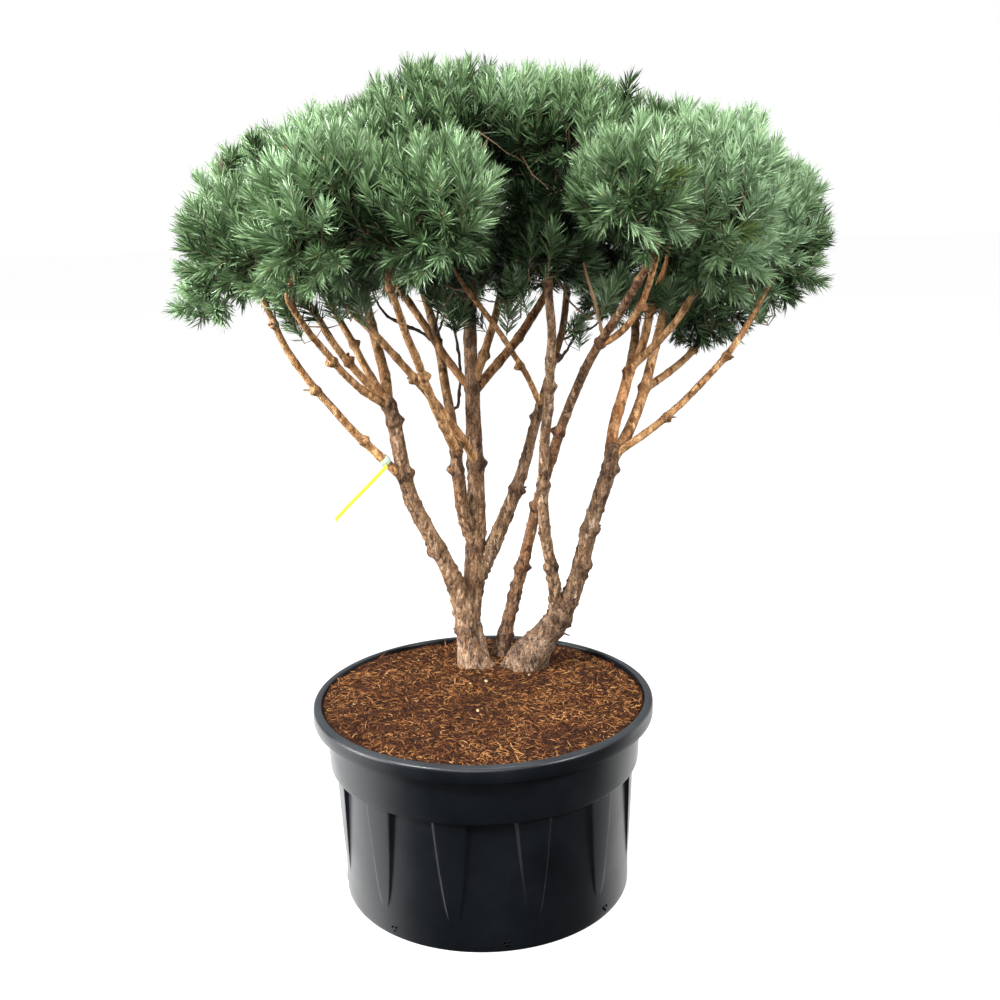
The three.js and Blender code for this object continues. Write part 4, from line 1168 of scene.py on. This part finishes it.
def build_pot():
    outer = [(0.0, 0.0), (0.150, 0.0), (0.322, 0.0), (0.3275, 0.0005), (0.3308, 0.0022), (0.3325, 0.0052), (0.333, 0.009)]
    for z in np.linspace(0.020, STEP_Z - 0.012, 27):
        outer.append((WALL_LOW + (WALL_TOP - WALL_LOW) * z / STEP_Z, z))
    outer += [(0.3350, STEP_Z - 0.0085), (0.3375, STEP_Z - 0.0062), (0.3440, STEP_Z - 0.0040), (0.3530, STEP_Z - 0.0018),
              (SHOULDER_LOW - 0.0008, STEP_Z - 0.0008), (SHOULDER_LOW, STEP_Z + 0.0008), (SHOULDER_LOW + 0.0004, STEP_Z + 0.004)]
    for z in np.linspace(STEP_Z + 0.015, POT_H - 0.045, 8):
        outer.append((SHOULDER_LOW + 0.0004 + 0.0046 * (z - STEP_Z) / 0.1, z))
    outer += [(0.3618, POT_H - 0.0385), (0.3650, POT_H - 0.0365), (0.3760, POT_H - 0.0360), (0.3868, POT_H - 0.0358),
              (0.3890, POT_H - 0.0350), (0.3898, POT_H - 0.0330), (0.3900, POT_H - 0.022), (0.3898, POT_H - 0.011),
              (0.3890, POT_H - 0.0065), (0.3872, POT_H - 0.0035), (0.3845, POT_H - 0.0018), (0.3800, POT_H - 0.0008),
              (0.3745, POT_H), (0.3722, POT_H - 0.0006), (0.3706, POT_H - 0.0022), (0.3700, POT_H - 0.005), (0.3680, POT_H - 0.018), (0.3660, POT_H - 0.034), (0.0, POT_H - 0.036)]
    face = [0.0, 0.2, 0.4, 0.6, 0.8, 0.93, 1.0]
    slope = [0.14, 0.5, 0.86, 1.0]
    land = [0.07, 0.22, 0.45, 0.7, 0.9, 1.0]
    half_cols = [("f", x) for x in face] + [("s", x) for x in slope] + [("l", x) for x in land]
    cols = [(-1, *c) for c in reversed(half_cols[1:-1])] + [(1, *c) for c in half_cols]
    rows = []
    pitch = 2 * math.pi / RIBS
    for r, z in outer[1:-1]:
        up = min(1.0, max(0.0, (z - RIB_LOW_Z) / (STEP_Z - RIB_LOW_Z)))
        half = (RIB_LOW_W + (RIB_TOP_W - RIB_LOW_W) * up ** 0.52) / 2
        side = RIB_SIDE * (0.4 + 0.6 * up)
        stand = (RIB_TOP_R - WALL_TOP) * up ** 0.8 if z < STEP_Z - 0.0005 else 0.0
        rib_r = WALL_LOW + 0.001 * z / STEP_Z + stand
        ring = []
        for k in range(RIBS):
            for sign, kind, x in cols:
                if kind == "f":
                    across, h = half * x, 1.0 - (0.05 if x == 1.0 else 0.0)
                elif kind == "s":
                    across, h = half + side * x, {0.14: 0.80, 0.5: 0.44, 0.86: 0.10, 1.0: 0.02}[x]
                else:
                    edge = half + side
                    across, h = edge + (pitch / 2 * 0.340 - edge) * x, 0.0
                a = RIB_PHASE + k * pitch + (across / 0.340) * sign
                rr = r
                if stand > 0:
                    rr = max(r, WALL_LOW + 0.001 * z / STEP_Z + stand * h) if z > STEP_Z - 0.010 else r + stand * h
                ring.append((rr * math.cos(a), rr * math.sin(a), z))
        rows.append(ring)
    n = len(rows[0])
    v = np.array(rows).reshape(-1, 3)
    f = grid_faces(len(rows), n)
    last = (len(rows) - 1) * n
    v = np.concatenate([v, [[0, 0, outer[0][1]], [0, 0, outer[-1][1]]]])
    cap = [[(k + 1) % n, k, len(v) - 2] for k in range(n)] + [[last + k, last + (k + 1) % n, len(v) - 1] for k in range(n)]
    # the mould leaves the tall wall very slightly out of round
    warp = noise(np.stack([v[:, 0] * 3.2, v[:, 1] * 3.2, v[:, 2] * 4.0], -1), 51)
    flat = np.linalg.norm(v[:, :2], axis=1)
    scale = 1 + warp * 0.0016 * np.clip(v[:, 2] / 0.05, 0, 1)
    v[:, 0] *= np.where(flat > 0.3, scale, 1)
    v[:, 1] *= np.where(flat > 0.3, scale, 1)
    return make_piece("pot_shell", v, np.concatenate([f, cap]), [PLASTIC], None, smooth=True, sharp=40)


ob = build_pot()
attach(ob, "root")
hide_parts("pot")


def build_vents():
    """Small holes in threes near the container's foot, all round it, each with a near-black floor as painted shade."""
    g = Gather()
    r = np.random.default_rng(29)
    for k in range(8):
        centre = math.radians(-128.7 + 45.0 * k)
        for dx, dz in ((-0.0052, 0.0026), (0.0050, 0.0038), (0.0006, -0.0050)):
            cx, cz = dx + r.normal(0, 0.0005), 0.0226 + dz
            size = 0.0031 * r.uniform(0.85, 1.1)
            ring, n = [], 12
            for depth, share in ((-0.0012, 1.15), (0.0007, 1.12), (0.0011, 0.92), (0.0004, 0.74)):
                for q in range(n):
                    a = q / n * 2 * math.pi
                    at = centre + (cx + math.cos(a) * size * share) / 0.333
                    rr = 0.3331 + depth
                    ring.append((rr * math.cos(at), rr * math.sin(at), cz + math.sin(a) * size * share))
            inner = 0.3331 + 0.0003
            ring += [(0.3319 * math.cos(centre + cx / 0.333), 0.3319 * math.sin(centre + cx / 0.333), cz), (inner * math.cos(centre + cx / 0.333), inner * math.sin(centre + cx / 0.333), cz)]
            f = grid_faces(4, n)
            cap = [[(q + 1) % n, q, 4 * n] for q in range(n)] + [[3 * n + q, 3 * n + (q + 1) % n, 4 * n + 1] for q in range(n)]
            # painted shade: the floor of each hole and its innermost band near black
            kinds = np.concatenate([np.zeros(len(f)), np.zeros(n), np.ones(n)])
            low_rows = np.concatenate([np.repeat(np.arange(3), n)] * 2)
            kinds[: len(f)][low_rows == 2] = 1
            g.add(ring, np.concatenate([f, cap]), kinds)
    return g


ob = build_vents().piece("pot_vents", [plain("vent_lip", (0.0040, 0.0050, 0.0060), 0.5, 0.2), plain("vent_painted_shade", (0.0006, 0.0006, 0.0007), 0.9, 0.0)], smooth=True, sharp=40)
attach(ob, "root")


# ------------------------------------------------------------------ mulch
def bed_height(x, y):
    rr = np.sqrt(x * x + y * y)
    base = 0.4570 - 0.0050 * np.clip((rr - 0.20) / 0.17, 0, 1) ** 1.4
    for fx, fy, wide in ((-0.004, 0.190, 0.055), (0.040, 0.215, 0.040), (0.100, 0.166, 0.060)):
        base = base + 0.0090 * np.exp(-((x - fx) ** 2 + (y - fy) ** 2) / wide ** 2)
    p = np.stack([x, y, x * 0], -1)
    return base + 0.0040 * noise(p * 11, 61) + 0.0022 * noise(p * 34, 62)


def build_bed():
    rings, cols = 74, 220
    rr = np.linspace(0, 1, rings + 1)[1:] ** 0.9 * 0.3685
    a = np.arange(cols) * (2 * math.pi / cols)
    R, A = np.meshgrid(rr, a, indexing="ij")
    x, y = (R * np.cos(A)).ravel(), (R * np.sin(A)).ravel()
    z = bed_height(x, y) + 0.0016 * noise(np.stack([x, y, x * 0], -1) * 120, 63) + 0.0011 * noise(np.stack([x, y, x * 0], -1) * 260, 64)
    v = np.stack([x, y, z], -1)
    f = grid_faces(rings, cols)[:, ::-1]
    centre = len(v)
    v = np.concatenate([v, [[0, 0, float(bed_height(np.zeros(1), np.zeros(1))[0])]]])
    cap = [[k, (k + 1) % cols, centre] for k in range(cols)]
    # skirt and underside make it a closed slab
    low = v[(rings - 1) * cols : rings * cols].copy()
    low[:, 2] = 0.4275
    low[:, :2] *= 0.3658 / 0.3685
    n0 = len(v)
    v = np.concatenate([v, low, [[0, 0, 0.4275]]])
    top = (rings - 1) * cols
    skirt = []
    for k in range(cols):
        k2 = (k + 1) % cols
        skirt += [[top + k, n0 + k, n0 + k2], [top + k, n0 + k2, top + k2], [n0 + k2, n0 + k, len(v) - 1]]
    return make_piece("mulch_bed", v, np.concatenate([f, cap, skirt]), [MULCH], None, smooth=False)


ob = build_bed()
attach(ob, "root")
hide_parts("soil")


def build_fibres(count, seed):
    """Loose coir strands: bent ribbons with a fold along them, lying every way."""
    r = np.random.default_rng(seed)
    rad = 0.362 * np.sqrt(r.random(count))
    az = r.uniform(0, 2 * math.pi, count)
    x, y = rad * np.cos(az), rad * np.sin(az)
    yaw = r.uniform(0, 2 * math.pi, count)
    length = r.uniform(0.007, 0.024, count)
    bend = r.normal(0, 1.9, count)
    pitch = r.normal(0.10, 0.28, count)
    lift = r.uniform(0.0003, 0.0042, count)
    width = r.uniform(0.00052, 0.00120, count)
    steps = 5
    pts = []
    px, py, pz, heading = x.copy(), y.copy(), np.zeros(count), yaw.copy()
    for i in range(steps):
        pts.append(np.stack([px, py, pz], -1))
        seg = length / (steps - 1)
        px = px + np.cos(heading) * np.cos(pitch) * seg
        py = py + np.sin(heading) * np.cos(pitch) * seg
        pz = pz + np.sin(pitch) * seg
        heading = heading + bend / (steps - 1)
        pitch = pitch - 0.16
    P = np.stack(pts, 1)
    # keep them inside the rim
    reach = np.sqrt(P[..., 0] ** 2 + P[..., 1] ** 2)
    pull = np.minimum(1, 0.3655 / np.maximum(reach, 1e-9))
    P[..., 0] *= pull
    P[..., 1] *= pull
    ground = bed_height(P[..., 0].ravel(), P[..., 1].ravel()).reshape(count, steps)
    P[..., 2] = np.maximum(P[..., 2] + ground + lift[:, None], ground + 0.0002)
    way = unit(np.gradient(P, axis=1))
    side = unit(np.cross(way, r.normal(0, 0.45, (count, 1, 3)) + np.array([0, 0, 1.0])))
    taper = np.array([0.5, 1.0, 1.0, 0.85, 0.3])[None, :, None] * width[:, None, None]
    down = np.array([0, 0, -1.0]) * taper * 0.8
    rows = np.stack([P - side * taper + down, P, P + side * taper + down], 2)  # count, steps, 3, xyz
    v = rows.reshape(-1, 3)
    base = np.arange(count)[:, None, None] * steps * 3
    i, j = np.meshgrid(np.arange(steps - 1), np.arange(2), indexing="ij")
    a = (i * 3 + j).ravel()[None, :]
    quad = np.stack([base[:, 0] + a, base[:, 0] + a + 1, base[:, 0] + a + 4, base[:, 0] + a + 3], -1)
    f = np.concatenate([quad[..., [0, 1, 2]].reshape(-1, 3), quad[..., [0, 2, 3]].reshape(-1, 3)])
    tone = np.clip(np.round(1.9 + 1.35 * r.normal(0, 1, count) + 1.1 * noise(np.stack([x * 14, y * 14, x * 0], -1), 71)), 0, 4).astype(int)
    m = np.repeat(tone, (steps - 1) * 2)
    return v, f, np.concatenate([m, m])


g = Gather()
g.add(*build_fibres(9600, 81))
ob = g.piece("mulch_fibres", FIBRES)
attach(ob, "root")


def build_bits():
    """A few pale chips and pebbles lying on the mulch."""
    g = Gather()
    r = np.random.default_rng(83)
    places = [(0.008, 0.071, 0.0052), (-0.013, -0.099, 0.0044), (0.111, 0.100, 0.0032)]
    for _ in range(34):
        a, d = r.uniform(0, 2 * math.pi), 0.34 * math.sqrt(r.random())
        places.append((d * math.cos(a), d * math.sin(a), r.uniform(0.0012, 0.0026)))
    for x, y, size in places:
        d = sphere_points(26, r.uniform(0, 6))
        d = unit(d + r.normal(0, 0.10, d.shape))
        stretch = np.array([r.uniform(0.9, 1.7), r.uniform(0.6, 1.0), r.uniform(0.35, 0.7)])
        turn = r.uniform(0, math.pi)
        v = d * stretch * size * (1 + 0.22 * noise(d * 1.7 + x * 90, 19)[:, None])
        v = v @ np.array([[math.cos(turn), math.sin(turn), 0], [-math.sin(turn), math.cos(turn), 0], [0, 0, 1]])
        hull = bmesh.new()
        for q in v:
            hull.verts.new(q)
        bmesh.ops.convex_hull(hull, input=hull.verts)
        hull.verts.index_update()
        co = np.array([q.co for q in hull.verts])
        f = np.array([[q.index for q in face.verts] for face in hull.faces if len(face.verts) == 3])
        hull.free()
        z = float(bed_height(np.array([x]), np.array([y]))[0]) + size * 0.35 + 0.001
        g.add(co + np.array([x, y, z]), f, 0 if size > 0.003 or r.random() < 0.5 else 1)
    return g


ob = build_bits().piece("mulch_chips", [plain("chip_pale", (0.520, 0.400, 0.220), 0.7), plain("chip_tan", (0.330, 0.200, 0.095), 0.8)])
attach(ob, "root")


# ------------------------------------------------------------------ label
STRIP_TURN = 12.0


def label_pieces():
    row = LIMB_BY_NAME["bough_left_outer"]
    path, s, length, bare = limb_path(row)
    i = int(0.1 * (len(path) - 1))
    at, way = path[i], unit(path[i + 3] - path[i - 3])
    radius = limb_radius(row, np.array([0.1]))[0]
    side = unit(np.cross(way, [0, -1.0, 0.2]))
    up = np.cross(side, way)
    # a soft strap: flat outside, laid round the bough in one and a half turns
    n, k = 60, 10
    v = []
    for a in np.linspace(0, 2 * math.pi * 1.35, n):
        out = math.cos(a) * side + math.sin(a) * up
        along = way * (0.004 * a / (2 * math.pi) - 0.002)
        rr = radius + 0.0016 + 0.0011 * a / (2 * math.pi)
        for q in range(k):
            b = q / k * 2 * math.pi
            v.append(at + along + out * (rr + 0.0014 * math.cos(b)) + way * (0.0068 * math.sin(b)))
    f = []
    for a in range(n - 1):
        for q in range(k):
            p, p2 = a * k + q, a * k + (q + 1) % k
            f += [[p, p2, p2 + k], [p, p2 + k, p + k]]
    f += [[0, q + 1, q] for q in range(1, k - 1)] + [[(n - 1) * k, (n - 1) * k + q, (n - 1) * k + q + 1] for q in range(1, k - 1)]
    band = make_piece("label_strap", np.array(v), np.array(f), [label_material("strap_mint", (0.30, 0.46, 0.34), (0.46, 0.60, 0.48), 0.5)], None, True, 50)
    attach(band, "root")
    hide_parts("label_band")
    # the strip: its CAD box gives the two ends
    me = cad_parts["label_strip"].data
    co = np.array([q.co for q in me.vertices])
    c = co.mean(0)
    axes = np.linalg.svd(co - c)[2]
    d, w, t = axes[0], axes[1], axes[2]
    if d[2] > 0:
        d = -d
    half = [np.abs((co - c) @ x).max() for x in (d, w, t)]
    turn = math.radians(STRIP_TURN)
    w, t = w * math.cos(turn) + t * math.sin(turn), t * math.cos(turn) - w * math.sin(turn)
    rows = []
    steps = 48
    for q in range(steps + 1):
        x = q / steps * 2 - 1
        mid = c + d * half[0] * x + t * 0.0010 * math.sin(2.3 * x) + w * 0.0
        wide = half[1] * (1.0 if abs(x) < 0.97 else 0.86)
        for sx, sy in ((-1, -0.6), (-0.92, -1), (0.92, -1), (1, -0.6), (1, 0.6), (0.92, 1), (-0.92, 1), (-1, 0.6)):
            rows.append(mid + w * wide * sx + t * half[2] * sy)
    rows = np.array(rows)
    f = grid_faces(steps + 1, 8)
    last = steps * 8
    f = np.concatenate([f, [[0, q + 1, q] for q in range(1, 7)], [[last, last + q, last + q + 1] for q in range(1, 7)]])
    strip = make_piece("label_blank", rows, f, [label_material("strip_yellow", (0.60, 0.50, 0.008), (0.72, 0.62, 0.016), 0.40)], None, True, 50)
    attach(strip, "root")
    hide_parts("label_strip")


label_pieces()


# ------------------------------------------------------------------ studio
def add_area(name, loc, target, size, power, colour=(1, 1, 1)):
    data = bpy.data.lights.new(name, "AREA")
    data.shape = "RECTANGLE"
    data.size, data.size_y = size
    data.energy = power
    data.color = colour
    ob = bpy.data.objects.new(name, data)
    bpy.context.scene.collection.objects.link(ob)
    z = unit(np.array(loc, float) - np.array(target, float))
    x = unit(np.cross([0, 0, 1.0], z))
    y = np.cross(z, x)
    m = np.eye(4)
    m[:3, 0], m[:3, 1], m[:3, 2], m[:3, 3] = x, y, z, loc
    ob.matrix_world = Matrix(m.tolist())
    return ob


add_area("key_left", (-2.9, -2.5, 3.7), (0.1, 0.0, 1.4), (0.7, 0.7), 410)
add_area("key_right", (3.3, -2.3, 3.1), (0.3, 0.0, 1.5), (0.9, 0.9), 230)
add_area("front_soft", (-0.5, -4.6, 2.5), (0.1, 0.0, 1.45), (3.0, 1.4), 175)
add_area("side_left", (-3.6, -0.6, 1.0), (0.0, 0.1, 0.9), (1.6, 1.6), 240)
add_area("side_right", (3.7, 1.8, 0.6), (0.0, 0.1, 0.6), (1.6, 3.0), 36)
add_area("top_soft", (0.2, 0.3, 5.2), (0.1, 0.1, 0), (2.0, 2.0), 190)

floor_me = bpy.data.meshes.new("floor")
floor_me.from_pydata([(-30, -30, 0), (30, -30, 0), (30, 30, 0), (-30, 30, 0)], [], [(0, 1, 2, 3)])
floor = bpy.data.objects.new("floor", floor_me)
bpy.context.scene.collection.objects.link(floor)
fm, nodes, links, p = new_material("floor_pale")
p.inputs["Base Color"].default_value = (0.26, 0.26, 0.26, 1)
p.inputs["Roughness"].default_value = 0.95
p.inputs["Specular IOR Level"].default_value = 0.0
p.inputs["Emission Color"].default_value = (1, 1, 1, 1)
p.inputs["Emission Strength"].default_value = 0.92
floor_me.materials.append(fm)
floor.visible_diffuse = False
floor.visible_glossy = False

world = bpy.data.worlds.new("studio")
bpy.context.scene.world = world
world.use_nodes = True
wn, wl = world.node_tree.nodes, world.node_tree.links
bg = wn["Background"]
coord = wn.new("ShaderNodeTexCoord")
sep = wn.new("ShaderNodeSeparateXYZ")
wl.new(coord.outputs["Generated"], sep.inputs["Vector"])
front = wn.new("ShaderNodeMapRange")
front.inputs["From Min"].default_value = -0.5
front.inputs["From Max"].default_value = 0.8
front.inputs["To Min"].default_value = 0.13
front.inputs["To Max"].default_value = 0.42
wl.new(sep.outputs["Y"], front.inputs["Value"])


def world_range(source, low, high, at_low, at_high, smooth=False):
    r = wn.new("ShaderNodeMapRange")
    r.interpolation_type = "SMOOTHSTEP" if smooth else "LINEAR"
    for key, value in (("From Min", low), ("From Max", high), ("To Min", at_low), ("To Max", at_high)):
        r.inputs[key].default_value = value
    wl.new(source, r.inputs["Value"])
    return r.outputs["Result"]


rise = world_range(sep.outputs["Z"], -0.7, 0.4, 0.45, 1.0)
both = times(wn, wl, front.outputs["Result"], rise)
# the pale floor and the soft boxes beside it, as the container's gloss sees them
lean = wn.new("ShaderNodeMath")
lean.operation = "MULTIPLY_ADD"
lean.inputs[1].default_value = -0.25
wl.new(sep.outputs["X"], lean.inputs[0])
wl.new(sep.outputs["Y"], lean.inputs[2])
beside = world_range(lean.outputs["Value"], -0.15, 0.25, 0.0, 1.0, True)
share = world_range(sep.outputs["X"], -0.5, 0.5, 2.6, 1.5, True)
under = times(wn, wl, world_range(sep.outputs["Z"], 0.0, -0.25, 0.0, 1.0, True), world_range(sep.outputs["Z"], -0.85, -0.60, 0.0, 1.0, True))
boost = times(wn, wl, times(wn, wl, beside, share), under)
seen = wn.new("ShaderNodeLightPath")
glow = wn.new("ShaderNodeMath")
glow.operation = "MULTIPLY_ADD"
wl.new(boost, glow.inputs[0])
wl.new(seen.outputs["Is Glossy Ray"], glow.inputs[1])
wl.new(both, glow.inputs[2])
strength = wn.new("ShaderNodeMix")
strength.data_type = "FLOAT"
wl.new(seen.outputs["Is Camera Ray"], strength.inputs[0])
wl.new(glow.outputs["Value"], strength.inputs[2])
strength.inputs[3].default_value = 1.0
wl.new(strength.outputs[0], bg.inputs["Strength"])
bg.inputs["Color"].default_value = (1, 1, 1, 1)

view = bpy.context.scene.view_settings
view.view_transform = "Standard"
view.look = "None"
view.exposure = 0.0
view.gamma = 1.0
